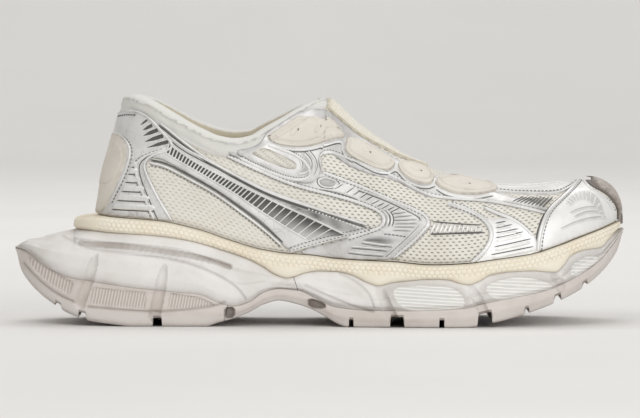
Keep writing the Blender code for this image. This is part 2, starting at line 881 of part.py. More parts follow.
def section(top, sign, t):
    """Point on the upper's form: top is the station, t runs from the sole (0) to the top edge (1)."""
    foot_share = base_share(top)
    turn = upper_outline.turn_at(foot_share * shoe_length)
    foot = upper_outline.at(turn, sign)
    foot.z = sole_z(feather_line, foot.x) + seat_clearance
    column = "outer" if sign < 0 else "inner"
    if top < collar_line["along"][-1]:
        opening = cubic_opening(top)
        height = top_z(smooth(collar_line, column, top))
    else:
        opening = 0.0
        height = top_z(smooth(ridge_line, "height", top))
    centre = cubic(upper_outline.turns, upper_plan["centre"], turn) * upper_ball_width
    crest = Vector((top * shoe_length, centre + sign * opening, max(height, foot.z)))
    rise, run, reach = crest.z - foot.z, foot.y - crest.y, crest.x - foot.x
    shape = {c: smooth(section_shape, c, foot_share) for c in ("bulge", "upright", "shoulder", "drop")}
    side = Vector((
        foot.x + reach * heel_rake[0],
        foot.y + run * shape["bulge"],
        foot.z + rise * shape["upright"],
    ))
    shoulder = Vector((
        foot.x + reach * heel_rake[1],
        crest.y + run * shape["shoulder"],
        crest.z - rise * shape["drop"],
    ))
    s = 1 - t
    return foot * s**3 + side * 3 * s * s * t + shoulder * 3 * s * t * t + crest * t**3


def cubic_opening(top):
    """Half width of the collar's opening, round at both ends."""
    start, end = collar_line["along"][0], collar_line["along"][-1]
    turns = np.array([turn_of((a - start) / (end - start)) for a in collar_line["along"]])
    return cubic(turns, collar_line["opening"], turn_of((top - start) / (end - start))) * upper_ball_width


class Form:
    """Grid of points on the upper's form with their outward directions."""

    def __init__(self):
        self.tops = upper_stations()
        steps = [i / section_steps for i in range(section_steps + 1)]
        self.points = {
            sign: [[section(top, sign, t) for t in steps] for top in self.tops] for sign in (-1, 1)
        }
        self.normals = {sign: self.directions(sign) for sign in (-1, 1)}
        self.share_seams()

    def directions(self, sign):
        grid = self.points[sign]
        found = []
        for i, row in enumerate(grid):
            line = []
            for j in range(len(row)):
                along = grid[min(i + 1, len(grid) - 1)][j] - grid[max(i - 1, 0)][j]
                up = row[min(j + 1, len(row) - 1)] - row[max(j - 1, 0)]
                outwards = along.cross(up) * -sign
                line.append(outwards.normalized() if outwards.length > 1e-12 else Vector((1, 0, 0)))
            found.append(line)
        return found

    def share_seams(self):
        """At the heel, along the ridge and at the toe both sides take one direction."""
        collar_end = collar_stations
        last = len(self.tops) - 1
        for i in range(last + 1):
            for j in range(section_steps + 1):
                if i == 0 or i == last or (j == section_steps and i >= collar_end):
                    both = self.normals[-1][i][j] + self.normals[1][i][j]
                    if i == 0:
                        both = Vector((both.x, 0.0, both.z))
                    if i == last:
                        both = Vector((1.0, 0.0, 0.0))
                    both.normalize()
                    self.normals[-1][i][j] = both
                    self.normals[1][i][j] = both.copy()

    def offset(self, sign, i, j, distance):
        """Point moved outwards. The lowest row and the toe's tip move level and stay seated on the rim."""
        normal = self.normals[sign][i][j]
        if j and i < len(self.tops) - 1:
            return self.points[sign][i][j] + normal * distance
        point = self.points[sign][i][j] + Vector((normal.x, normal.y, 0)).normalized() * distance
        point.z = sole_z(feather_line, point.x) + seat_clearance
        return point


def padding(form, i, j):
    """Extra wall towards the collar, none at the sole or on the vamp."""
    if i > collar_stations + 3:
        return 0.0
    fade = 1.0 if i <= collar_stations - 2 else (collar_stations + 4 - i) / 6
    height = j / section_steps
    return fade * max(0.0, (height - padding_start) / (1 - padding_start)) ** padding_growth


def shell(name, form, inside, outside, finish):
    """Closed wall between two offsets of the form. All shells split their quads alike, so they nest."""
    build = bmesh.new()
    last, top = len(form.tops) - 1, section_steps

    def quad(a, b, c, d):
        build.faces.new((a, b, c))
        build.faces.new((a, c, d))

    layers = []
    for offset in (inside, outside):
        layers.append({
            sign: [
                [build.verts.new(form.offset(sign, i, j, offset(i, j))) for j in range(top + 1)]
                for i in range(last + 1)
            ]
            for sign in (-1, 1)
        })
    low, high = layers
    for sign in (-1, 1):
        for i in range(last):
            for grid in (low[sign], high[sign]):
                for j in range(top):
                    quad(grid[i][j], grid[i + 1][j], grid[i + 1][j + 1], grid[i][j + 1])
            quad(low[sign][i][0], low[sign][i + 1][0], high[sign][i + 1][0], high[sign][i][0])
            if i < collar_stations:
                quad(low[sign][i][top], low[sign][i + 1][top], high[sign][i + 1][top], high[sign][i][top])
    return object_from(name, build, finish)


def skin(form):
    """Offset of the upper's outer face from the form, by station and step."""

    def outside(i, j):
        height = j / section_steps
        rise = min(1.0, max(0.0, (height - swell_start) / (1 - swell_start)))
        return collar_swell * math.sin(math.pi * rise * swell_start) * padding(form, i, j)

    return outside


def build_upper(form):
    def inside(i, j):
        return -upper_wall - collar_padding * padding(form, i, j)

    return shell("upper", form, inside, skin(form), cream_mesh)


def side_prism(points, side):
    """Cutter through the side view: through one half of the shoe, or through both when side is 0."""
    reach = upper_ball_width
    shift = Vector((0.0, side * (reach + clearance / 2), 0.0))
    return prism([point + shift for point in points], (0, 1, 0), reach)


def strip_points(growth=0.0):
    """The stretch strip seen from above."""
    edges = {-1: [], 1: []}
    for along, half in zip(strip_line["along"], strip_line["half"]):
        x = along * shoe_length
        turn = upper_outline.turn_at(x)
        centre = cubic(upper_outline.turns, upper_plan["centre"], turn) * upper_ball_width
        for side in (-1, 1):
            edges[side].append(Vector((x, centre + side * (half + growth), top_z(0.5))))
    edges[-1][0].x -= growth
    edges[1][0].x -= growth
    edges[-1][-1].x += growth
    edges[1][-1].x += growth
    return edges[-1] + edges[1][::-1]


def overlay(name, band, outline, side, finish, opening=None, clear_of_strip=False):
    """Piece of a band round the upper, inside an outline of the side view."""
    made = copy_of(band, name)
    if clear_of_strip:
        cut(made, prism(strip_points(clearance), (0, 0, 1), upper_height), "DIFFERENCE")
    cut(made, side_prism(side_points(outline), side), "INTERSECT")
    if opening:
        cut(made, side_prism(side_points(opening), side), "DIFFERENCE")
    made.data.materials.clear()
    made.data.materials.append(finish)
    return made


def band_of(form, low, thickness):
    """Closed wall all round the upper, a height above its skin."""
    outside = skin(form)
    return shell(
        "band",
        form,
        lambda i, j: outside(i, j) + low,
        lambda i, j: outside(i, j) + low + thickness,
        silver_film,
    )


def build_strip(form):
    strip = band_of(form, clearance, overlay_thickness)
    strip.name = "stretch_strip"
    cut(strip, prism(strip_points(), (0, 0, 1), upper_height), "INTERSECT")
    strip.data.materials.clear()
    strip.data.materials.append(stretch_knit)


def build_overlays(form):
    film = band_of(form, clearance, overlay_thickness)
    moulded = band_of(form, clearance, bumper_thickness)
    raised = band_of(form, 2 * clearance + overlay_thickness, pod_thickness)
    overlay("heel_counter", film, heel_counter_outline, 0, silver_film)
    overlay("heel_patch", raised, heel_patch_outline, 0, beige_rubber)
    overlay("vamp_band", film, vamp_band_outline, 0, silver_film)
    overlay("toe_cap", film, toe_cap_outline, 0, silver_film)
    overlay("toe_bumper", moulded, toe_bumper_outline, 0, bumper_rubber)
    for side, place in ((-1, "outer"), (1, "inner")):
        overlay(f"side_stripe_{place}", film, side_stripe_outline, side, silver_film)
        overlay(f"side_panel_{place}", film, side_panel_outline, side, silver_film, side_window_outline)
        overlay(f"forefoot_panel_{place}", film, forefoot_panel_outline, side, silver_film)
        overlay(f"eyestay_{place}", film, eyestay_outline, side, silver_film, None, True)
        for number, outline in enumerate(pod_outlines, 1):
            overlay(f"eyestay_pod_{number}_{place}", raised, outline, side, beige_rubber, None, True)
    for band in (film, moulded, raised):
        bpy.data.objects.remove(band, do_unlink=True)


def stand_on_origin():
    """Moves all solids so that the origin is the middle of their box, on the floor."""
    corners = [Vector(corner) for made in bpy.data.objects for corner in made.bound_box]
    low = Vector([min(corner[k] for corner in corners) for k in range(3)])
    high = Vector([max(corner[k] for corner in corners) for k in range(3)])
    shift = Vector((-(low.x + high.x) / 2, -(low.y + high.y) / 2, -low.z))
    for made in bpy.data.objects:
        made.data.transform(Matrix.Translation(shift))


def build_all():
    rubber = build_outsole()
    split(rubber, rubber_joint, ("heel_outsole", "forefoot_outsole"), outsole_rubber)
    foam = loft("foam_form", [midsole_ring(t) for t in sole_turns()], white_foam)
    split(foam, foam_joint, ("heel_midsole", "forefoot_midsole"), white_foam)
    rim_turns = [leaned(t, sole_rise(t, foam_line)) for t in sole_turns()]
    loft("rim", [rim_ring(t) for t in rim_turns], cream_foam)
    loft("insole", [insole_ring(t) for t in rim_turns], lining_cloth)
    form = Form()
    build_upper(form)
    build_strip(form)
    build_overlays(form)
    stand_on_origin()


build_all()
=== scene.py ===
import math

import bmesh
import bpy
import numpy as np
from mathutils import Matrix, Vector
from mathutils.kdtree import KDTree


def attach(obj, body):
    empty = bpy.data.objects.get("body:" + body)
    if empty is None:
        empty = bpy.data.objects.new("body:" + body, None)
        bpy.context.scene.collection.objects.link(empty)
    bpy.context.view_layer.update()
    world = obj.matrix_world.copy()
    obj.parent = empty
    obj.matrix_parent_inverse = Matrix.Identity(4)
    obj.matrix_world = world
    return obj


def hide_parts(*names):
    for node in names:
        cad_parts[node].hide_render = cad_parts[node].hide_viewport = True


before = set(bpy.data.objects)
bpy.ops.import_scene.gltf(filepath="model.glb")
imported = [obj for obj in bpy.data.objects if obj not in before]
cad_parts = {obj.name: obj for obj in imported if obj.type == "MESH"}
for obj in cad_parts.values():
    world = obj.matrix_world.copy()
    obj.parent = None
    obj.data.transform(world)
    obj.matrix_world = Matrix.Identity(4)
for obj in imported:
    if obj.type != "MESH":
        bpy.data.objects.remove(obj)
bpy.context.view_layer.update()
print("frame loaded")

# The shoe is measured in the side view: x from the back of the sole, z from the floor, in metres.
shoe = {
    "length": 0.334,
    "soleHeight": 0.059,
    "upperHeight": 0.0655,
    "upperWidth": 0.098,
    "rimWidth": 0.108,
    "soleWidth": 0.1145,
    "wall": 0.0024,
    "padding": 0.0034,
    "swell": 0.0016,
    "gap": 0.0003,
    "seat": 0.00055,
    "heelRake": (0.10, 0.54),
}


def columns(names, rows):
    return dict(zip(names.split(), np.array(rows, float).T))


upperPlan = columns("along half centre", [
    (0.000, 0.000, 0.000), (0.015, 0.150, 0.000), (0.040, 0.237, 0.000), (0.100, 0.313, 0.000),
    (0.180, 0.343, -0.004), (0.300, 0.351, -0.018), (0.420, 0.362, -0.041), (0.520, 0.398, -0.050),
    (0.620, 0.458, -0.038), (0.700, 0.493, -0.016), (0.760, 0.498, 0.004), (0.840, 0.469, 0.030),
    (0.910, 0.388, 0.060), (0.960, 0.276, 0.078), (0.985, 0.165, 0.086), (1.000, 0.000, 0.090),
])
rimPlan = columns("along half centre", [
    (0.000, 0.000, 0.000), (0.015, 0.165, 0.000), (0.045, 0.262, 0.000), (0.110, 0.345, 0.000),
    (0.200, 0.372, -0.004), (0.310, 0.368, -0.018), (0.430, 0.372, -0.038), (0.530, 0.405, -0.046),
    (0.630, 0.462, -0.034), (0.710, 0.495, -0.014), (0.770, 0.499, 0.004), (0.845, 0.470, 0.028),
    (0.912, 0.390, 0.055), (0.962, 0.277, 0.071), (0.986, 0.166, 0.079), (1.000, 0.000, 0.082),
])
solePlan = columns("along half centre", [
    (0.000, 0.000, 0.000), (0.012, 0.135, 0.000), (0.035, 0.230, 0.000), (0.080, 0.320, 0.000),
    (0.140, 0.378, 0.000), (0.220, 0.403, 0.000), (0.303, 0.398, -0.010), (0.385, 0.380, -0.028),
    (0.467, 0.374, -0.040), (0.549, 0.406, -0.042), (0.632, 0.460, -0.026), (0.714, 0.496, -0.004),
    (0.796, 0.490, 0.020), (0.878, 0.420, 0.046), (0.944, 0.300, 0.066), (0.982, 0.172, 0.075),
    (1.000, 0.000, 0.078),
])
floorLine = columns("along height", [
    (0.000, 0.660), (0.010, 0.485), (0.023, 0.392), (0.041, 0.298), (0.064, 0.205), (0.092, 0.112),
    (0.125, 0.050), (0.165, 0.018), (0.197, 0.000), (0.313, 0.000), (0.336, 0.037), (0.360, 0.075),
    (0.385, 0.130), (0.410, 0.205), (0.434, 0.240), (0.459, 0.214), (0.484, 0.168), (0.508, 0.100),
    (0.530, 0.028), (0.545, 0.000), (0.737, 0.000), (0.780, 0.042), (0.829, 0.112), (0.878, 0.205),
    (0.928, 0.336), (0.952, 0.430), (0.977, 0.560), (0.990, 0.660), (1.000, 0.790),
])
rubberLine = columns("along height", [
    (0.000, 0.695), (0.016, 0.678), (0.052, 0.546), (0.092, 0.450), (0.131, 0.412), (0.184, 0.368),
    (0.252, 0.326), (0.303, 0.300), (0.340, 0.215), (0.362, 0.190), (0.385, 0.225), (0.410, 0.318),
    (0.434, 0.352), (0.467, 0.335), (0.490, 0.275), (0.525, 0.185), (0.566, 0.160), (0.640, 0.155),
    (0.730, 0.178), (0.780, 0.240), (0.870, 0.338), (0.911, 0.430), (0.956, 0.580), (0.977, 0.700),
    (1.000, 0.850),
])
foamLine = columns("along height", [
    (0.000, 0.712), (0.008, 0.755), (0.021, 0.806), (0.040, 0.834), (0.079, 0.868), (0.110, 0.872),
    (0.150, 0.856), (0.237, 0.826), (0.288, 0.783), (0.336, 0.708), (0.382, 0.620), (0.408, 0.546),
    (0.428, 0.475), (0.447, 0.443), (0.460, 0.457), (0.474, 0.487), (0.500, 0.509), (0.526, 0.505),
    (0.551, 0.475), (0.577, 0.406), (0.595, 0.376), (0.617, 0.406), (0.643, 0.425), (0.682, 0.440),
    (0.707, 0.435), (0.727, 0.401), (0.740, 0.390), (0.757, 0.419), (0.775, 0.477), (0.808, 0.506),
    (0.845, 0.513), (0.870, 0.500), (0.883, 0.497), (0.896, 0.556), (0.909, 0.643), (0.934, 0.692),
    (0.959, 0.705), (0.979, 0.800), (1.000, 0.895),
])
featherLine = columns("along height", [
    (0.090, 0.985), (0.133, 1.000), (0.158, 0.990), (0.237, 0.960), (0.303, 0.881), (0.355, 0.783),
    (0.408, 0.697), (0.447, 0.665), (0.487, 0.650), (0.526, 0.621), (0.566, 0.606), (0.617, 0.595),
    (0.682, 0.567), (0.732, 0.578), (0.783, 0.615), (0.849, 0.671), (0.883, 0.727), (0.921, 0.802),
    (0.972, 0.899), (1.000, 0.955),
])
partingLine = columns("along height", [
    (0.00, 0.70), (0.06, 0.66), (0.26, 0.65), (0.31, 0.57), (0.34, 0.50), (0.38, 0.42), (0.42, 0.42),
    (1.0, 0.42),
])
footwellLine = columns("along height", [
    (0.10, 0.085), (0.30, 0.095), (0.50, 0.090), (0.70, 0.082), (0.90, 0.070), (1.0, 0.060),
])
collarLine = columns("along outer inner opening", [
    (0.184, 1.000, 1.000, 0.000), (0.192, 1.004, 1.004, 0.092), (0.212, 0.980, 0.984, 0.184),
    (0.237, 0.920, 0.930, 0.250), (0.262, 0.846, 0.862, 0.286), (0.286, 0.774, 0.797, 0.306),
    (0.311, 0.707, 0.741, 0.316), (0.336, 0.655, 0.700, 0.321), (0.360, 0.636, 0.683, 0.316),
    (0.385, 0.655, 0.692, 0.306), (0.408, 0.720, 0.745, 0.286), (0.434, 0.795, 0.812, 0.250),
    (0.461, 0.879, 0.888, 0.204), (0.487, 0.945, 0.948, 0.133), (0.500, 0.967, 0.968, 0.082),
    (0.510, 0.976, 0.976, 0.000),
])
ridgeLine = columns("along height", [
    (0.510, 0.970), (0.522, 0.925), (0.533, 0.876), (0.558, 0.757), (0.582, 0.662), (0.607, 0.583),
    (0.632, 0.502), (0.681, 0.400), (0.730, 0.318), (0.780, 0.262), (0.829, 0.250), (0.878, 0.264),
    (0.928, 0.276), (0.950, 0.272), (0.968, 0.240), (0.980, 0.190), (0.988, 0.115), (0.9915, 0.040),
    (0.9925, -0.040),
])
sectionShape = columns("along bulge upright shoulder drop", [
    (0.133, 0.00, 0.30, 0.60, 0.30), (0.200, 0.03, 0.34, 0.42, 0.34), (0.300, 0.05, 0.36, 0.40, 0.34),
    (0.400, 0.04, 0.38, 0.40, 0.30), (0.460, 0.02, 0.42, 0.42, 0.20), (0.510, 0.00, 0.44, 0.62, 0.06),
    (0.560, 0.00, 0.46, 0.58, 0.02), (0.640, 0.01, 0.52, 0.56, 0.00), (0.740, 0.02, 0.58, 0.60, 0.00),
    (0.860, 0.02, 0.62, 0.68, 0.00), (1.000, 0.00, 0.70, 0.70, 0.00),
])


def curve(xs, ys, at):
    # smooth line through a table's rows, with no overshoot
    at = np.clip(at, xs[0], xs[-1])
    steps = np.diff(xs)
    rises = np.diff(ys) / steps
    slopes = np.concatenate([rises[:1], np.zeros(len(xs) - 2), rises[-1:]])
    before, after = 2 * steps[1:] + steps[:-1], steps[1:] + 2 * steps[:-1]
    same = rises[:-1] * rises[1:] > 0
    left, right = np.where(same, rises[:-1], 1.0), np.where(same, rises[1:], 1.0)
    slopes[1:-1] = np.where(same, (before + after) / (before / left + after / right), 0.0)
    i = np.clip(np.searchsorted(xs, at) - 1, 0, len(xs) - 2)
    t = (at - xs[i]) / steps[i]
    rise = ys[i] * (2 * t**3 - 3 * t**2 + 1) + ys[i + 1] * (3 * t**2 - 2 * t**3)
    return rise + steps[i] * (slopes[i] * (t**3 - 2 * t**2 + t) + slopes[i + 1] * (t**3 - t**2))


def lineAt(line, x, column="height"):
    return curve(line["along"], line[column], np.asarray(x) / shoe["length"])


def soleZ(line, x):
    return lineAt(line, x) * shoe["soleHeight"]


def topZ(share):
    return shoe["soleHeight"] + share * shoe["upperHeight"]


def ease(value, low, high):
    t = np.clip((value - low) / (high - low), 0.0, 1.0)
    return t * t * (3 - 2 * t)


def bell(value, width):
    return np.exp(-((value / width) ** 2))


def turnOf(share):
    return np.arccos(1 - 2 * np.clip(share, 0.0, 1.0))


class Plan:
    # an outline seen from above: half width about a curved middle line, by the angle round it
    def __init__(self, rows, span, width):
        self.turns, self.rows, self.width = turnOf(rows["along"]), rows, width
        self.start, self.end = span[0] * shoe["length"], span[1] * shoe["length"]

    def turnAt(self, x):
        return turnOf((x - self.start) / (self.end - self.start))

    def base(self, turn, side):
        x = self.start + (self.end - self.start) * (1 - np.cos(turn)) / 2
        half = curve(self.turns, self.rows["half"], turn) * self.width
        centre = curve(self.turns, self.rows["centre"], turn) * self.width
        return x, centre + side * half

    def middle(self, turn):
        return curve(self.turns, self.rows["centre"], turn) * self.width

    def edge(self, turn, side, outset=0.0):
        small = 0.004
        x, y = self.base(turn, side)
        beforeX, beforeY = self.base(np.maximum(turn - small, 0.0), side)
        afterX, afterY = self.base(np.minimum(turn + small, math.pi), side)
        alongX, alongY = afterX - beforeX, afterY - beforeY
        alongX = np.where((turn < small) | (turn > math.pi - small), 0.0, alongX)
        alongY = np.where(turn < small, side, np.where(turn > math.pi - small, -side, alongY))
        size = np.hypot(alongX, alongY)
        return x - alongY / size * side * outset, y + alongX / size * side * outset


heelStart = 0.1335
upperOutline = Plan(upperPlan, (heelStart, 0.9925), shoe["upperWidth"])
rimOutline = Plan(rimPlan, (0.096, 0.9955), shoe["rimWidth"])
soleOutline = Plan(solePlan, (0.0, 1.0), shoe["soleWidth"])
collarStart, collarEnd, toeEnd = collarLine["along"][0], collarLine["along"][-1], ridgeLine["along"][-1]


def section(top, side, t):
    # points of the upper's form: top is a column of stations, t runs from the sole to the top edge
    top = np.asarray(top, float)[:, None]
    share = (top - collarStart) / (toeEnd - collarStart)
    footShare = top - (collarStart - heelStart) * (1 - share) ** 3.2
    turn = upperOutline.turnAt(footShare * shoe["length"])
    footX, footY = upperOutline.edge(turn, side)
    footZ = soleZ(featherLine, footX) + shoe["seat"]
    collarTurns = turnOf((collarLine["along"] - collarStart) / (collarEnd - collarStart))
    opening = curve(
        collarTurns, collarLine["opening"], turnOf((top - collarStart) / (collarEnd - collarStart)),
    )
    opening = np.where(top < collarEnd, opening * shoe["upperWidth"], 0.0)
    collar = curve(collarLine["along"], collarLine["outer" if side < 0 else "inner"], top)
    ridge = curve(ridgeLine["along"], ridgeLine["height"], top)
    crestX = top * shoe["length"]
    crestY = upperOutline.middle(turn) + side * opening
    crestZ = np.maximum(topZ(np.where(top < collarEnd, collar, ridge)), footZ)
    rise, run = crestZ - footZ, footY - crestY
    shape = {name: curve(sectionShape["along"], sectionShape[name], footShare) for name in sectionShape}
    low, high = shoe["heelRake"]
    sideX, sideY = footX + (crestX - footX) * low, footY + run * shape["bulge"]
    sideZ = footZ + rise * shape["upright"]
    shoulderX, shoulderY = footX + (crestX - footX) * high, crestY + run * shape["shoulder"]
    shoulderZ = crestZ - rise * shape["drop"]
    s = 1 - t
    weights = (s**3, 3 * s * s * t, 3 * s * t * t, t**3)
    corners = (
        (footX, footY, footZ), (sideX, sideY, sideZ), (shoulderX, shoulderY, shoulderZ),
        (crestX, crestY, crestZ),
    )
    return np.stack([sum(w * corner[k] for w, corner in zip(weights, corners)) for k in range(3)], axis=-1)


class Wire:
    # a socket that can be used in sums
    def __init__(self, tree, socket):
        self.tree, self.socket = tree, socket

    def make(self, kind, settings=(), values=(), output=0):
        node = self.tree.nodes.new(kind)
        for key, value in dict(settings).items():
            if key == "stops":
                ramp = node.color_ramp.elements
                while len(ramp) < len(value):
                    ramp.new(0.5)
                for stop, (position, colour) in zip(ramp, value):
                    stop.position, stop.color = position, (*colour, 1.0)
            else:
                setattr(node, key, value)
        for key, value in dict(values).items():
            if isinstance(value, Wire):
                self.tree.links.new(value.socket, node.inputs[key])
            else:
                node.inputs[key].default_value = value
        return Wire(self.tree, node.outputs[output])

    def sum(self, operation, *others):
        return self.make("ShaderNodeMath", {"operation": operation}, dict(enumerate((self, *others))))

    def __add__(self, other):
        return self.sum("ADD", other)

    def __sub__(self, other):
        return self.sum("SUBTRACT", other)

    def __rsub__(self, other):
        return self.make("ShaderNodeMath", {"operation": "SUBTRACT"}, {0: other, 1: self})

    def __mul__(self, other):
        return self.sum("MULTIPLY", other)

    def __truediv__(self, other):
        return self.sum("DIVIDE", other)

    def __pow__(self, other):
        return self.sum("POWER", other)

    __radd__, __rmul__ = __add__, __mul__

    def wave(self, period):
        # 0 to 1 and back over each period
        return (self * (2 * math.pi / period)).sum("SINE") * 0.5 + 0.5

    def step(self, low, high):
        return self.make(
            "ShaderNodeMapRange", {"interpolation_type": "SMOOTHSTEP"}, {0: self, 1: low, 2: high},
        )

    def noise(self, scale, detail=3.0, roughness=0.55, where=None):
        place = where or self.place()
        values = {"Vector": place, "Scale": scale, "Detail": detail, "Roughness": roughness}
        return self.make("ShaderNodeTexNoise", {}, values)

    def cells(self, scale, feature="F1", where=None):
        values = {"Vector": where or self.place(), "Scale": scale}
        return self.make("ShaderNodeTexVoronoi", {"feature": feature}, values)

    def place(self):
        return self.make("ShaderNodeTexCoord", output=3)

    def warped(self, scale, reach):
        # object place pushed about by noise, so that cracks run crooked
        push = self.make("ShaderNodeTexNoise", {}, {"Vector": self.place(), "Scale": scale, "Detail": 3.0}, 1)
        pushed = self.make("ShaderNodeVectorMath", {"operation": "SCALE"}, {0: push, "Scale": reach})
        return self.make("ShaderNodeVectorMath", {"operation": "ADD"}, {0: self.place(), 1: pushed})

    def mask(self, name):
        return self.make("ShaderNodeAttribute", {"attribute_name": name}, output=2)

    def blend(self, one, other):
        # self is the share of the second colour
        return self.make(
            "ShaderNodeMix", {"data_type": "RGBA"}, {0: self, 6: colourOf(one), 7: colourOf(other)}, 2,
        )

    def parts(self):
        node = self.make("ShaderNodeSeparateXYZ", {}, {0: self}).socket.node
        return [Wire(self.tree, socket) for socket in node.outputs]

    def bump(self, height, distance=0.0004, strength=0.6):
        return self.make("ShaderNodeBump", {}, {"Height": height, "Distance": distance, "Strength": strength})


def colourOf(value):
    return value if isinstance(value, Wire) else (*value, 1.0)


def newFinish(name, **constants):
    # a Principled material: its constant sockets by name, with _ for a space
    made = bpy.data.materials.new(name)
    made.use_nodes = True
    shader = made.node_tree.nodes["Principled BSDF"]
    for key, value in constants.items():
        shader.inputs[key.replace("_", " ")].default_value = value
    wire = Wire(made.node_tree, None)

    def feed(**wires):
        for key, value in wires.items():
            made.node_tree.links.new(value.socket, shader.inputs[key.replace("_", " ")])

    return made, wire, feed


def knitFinish(name, look):
    # engineered mesh: off-white cloth with staggered oval holes
    made, wire, feed = newFinish(name, Sheen_Weight=0.15, Sheen_Roughness=0.5, Specular_IOR_Level=0.25)
    u, v, _ = wire.make("ShaderNodeUVMap", {"uv_map": "cloth"}).parts()
    row = (v / look["rowPitch"]).sum("FLOOR")
    shifted = u / look["holePitch"] + row.sum("MODULO", 2.0) * 0.5
    offU = (shifted.sum("FRACT") - 0.5) / look["holeWide"]
    offV = ((v / look["rowPitch"]).sum("FRACT") - 0.5 + offU * 0.04) / look["holeTall"]
    fromMiddle = (offU * offU + offV * offV) ** 0.5
    hole = 1.0 - fromMiddle.step(0.55, 1.15)
    openness, band = wire.mask("openKnit"), wire.mask("band")
    threads = (u.wave(0.00062) * v.wave(0.00055)) ** 0.5
    stain = wire.noise(28.0, 5.0, 0.65).step(0.38, 0.72)
    base = (stain * look["stain"]).blend(look["cloth"], look["aged"])
    base = (threads * 0.16).blend(base, look["shade"])
    base = band.blend(base, look["collar"])
    base = (wire.mask("grime") * look["grime"]).blend(base, look["dirtAndShade"])
    # the open holes take a dark colour: painted shade inside the mesh, stronger towards the front
    hole = hole * (1.0 - band)
    feed(
        Base_Color=(hole * (openness * look["front"] + look["rear"])).blend(base, look["hole"]),
        Roughness=0.78 + hole * 0.15,
        Normal=wire.bump(hole * -0.9 + threads * 0.25 + wire.noise(900.0, 2.0) * 0.2, 0.0006, 0.75),
    )
    return made


plainCloth = {"rib": 0.0, "ribX": 1.0, "ribZ": 0.0, "ribPitch": 0.002}
plainMould = {
    "ribX": 1.0, "ribY": 0.0, "ribZ": 0.0, "ribPitch": 0.002, "ribShade": 0.3,
    "linePitch": 0.002, "lineSlope": 0.0, "lineShade": 0.3,
}


def clothFinish(name, look):
    # plain woven cloth: lining, insole, elastic, thread
    look = {**plainCloth, **look}
    made, wire, feed = newFinish(
        name, Sheen_Weight=look["sheen"], Sheen_Roughness=0.6, Specular_IOR_Level=0.2,
    )
    x, y, z = wire.place().parts()
    weave = (x + y * 0.8).wave(look["weave"]) * z.wave(look["weave"] * 0.9)
    ribs = (x * look["ribX"] + z * look["ribZ"]).wave(look["ribPitch"]) * look["rib"]
    stain = wire.noise(look["stainScale"], 5.0, 0.6).step(0.35, 0.75)
    base = (stain * look["stain"]).blend(look["cloth"], look["aged"])
    base = (weave * 0.12 + ribs * 0.25).blend(base, look["shade"])
    feed(
        Base_Color=(wire.mask("grime") * look["grime"]).blend(base, look["dirtAndShade"]),
        Roughness=0.8 + weave * 0.12,
        Normal=wire.bump(weave * 0.5 + ribs + wire.noise(1400.0, 2.0) * 0.35, 0.0004, 0.6),
    )
    return made


def filmFinish(name, look):
    # silver film welded on cloth: fine grain, cracks, painted shade in the low places, and soiling with
    # painted shade along the edges
    made, wire, feed = newFinish(name, Specular_IOR_Level=0.5, Coat_Roughness=0.25)
    grain = wire.noise(1500.0, 2.0, 0.5)
    crease = wire.cells(look["crackScale"], "DISTANCE_TO_EDGE", wire.warped(60.0, 0.004)).step(0.0, 0.05)
    cracks = (1.0 - crease) * wire.noise(45.0, 3.0).step(0.46, 0.62) * look["cracks"]
    cloudy = wire.noise(70.0, 4.0, 0.6)
    base = cloudy.step(0.35, 0.7).blend(look["film"], look["tarnish"])
    base = (wire.mask("low") * look["lowShare"]).blend(base, look["dark"])
    base = (wire.mask("grime") * look["grime"] * (0.55 + cloudy * 0.8)).blend(base, look["dirtAndShade"])
    feed(
        Base_Color=cracks.blend(base, look["dirtAndShade"]),
        Metallic=look["metal"] - wire.mask("grime") * 0.25,
        Roughness=look["rough"] + cloudy * 0.16 + wire.mask("grime") * 0.2,
        Coat_Weight=look["coat"] - cloudy * look["coat"] * 0.5,
        Normal=wire.bump(grain * 0.35 + crease * look["cracks"] * 0.6 + cloudy * 0.5, 0.00035, 0.5),
    )
    return made


def rubberFinish(name, look):
    # moulded foam and rubber: grain, ribs and lines where the mould has them, painted shade in their valleys
    # and in recesses, stains and painted shade towards the edges
    look = {**plainMould, **look}
    made, wire, feed = newFinish(name, Specular_IOR_Level=look["gloss"])
    x, y, z = wire.place().parts()
    ribs = (x * look["ribX"] + y * look["ribY"] + z * look["ribZ"]).wave(look["ribPitch"]).step(0.25, 0.8)
    lines = (z + x * look["lineSlope"]).wave(look["linePitch"]).step(0.3, 0.75)
    grain = wire.noise(look["grainScale"], 3.0, 0.6)
    stain = wire.noise(look["stainScale"], 5.0, 0.62).step(0.36, 0.72)
    ribbed, lined, panel = wire.mask("ribbed"), wire.mask("lined"), wire.mask("panel")
    base = (stain * look["stain"]).blend(look["base"], look["aged"])
    base = panel.blend(base, look["panel"])
    base = (wire.mask("framed") * (0.35 + grain * 0.9)).blend(base, look["frame"])
    # painted shade in the valleys between ribs and between lines
    base = (ribbed * (1.0 - ribs) * look["ribShade"]).blend(base, look["dirtAndShade"])
    base = (lined * (1.0 - lines) * look["lineShade"]).blend(base, look["dirtAndShade"])
    base = wire.mask("lower").blend(base, look["lower"])
    # painted shade in slits, slots, notches and gaps
    base = (wire.mask("low") * look["lowShare"]).blend(base, look["dark"])
    feed(
        Base_Color=(wire.mask("grime") * look["grime"] * (0.5 + stain * 0.7)).blend(base, look["dirtAndShade"]),
        Roughness=look["rough"] + grain * 0.12,
        Normal=wire.bump(
            ribbed * ribs * 1.2 + lined * lines * 0.8 + grain * look["grain"] * (0.4 + wire.mask("framed")),
            0.0006, 0.6,
        ),
    )
    return made
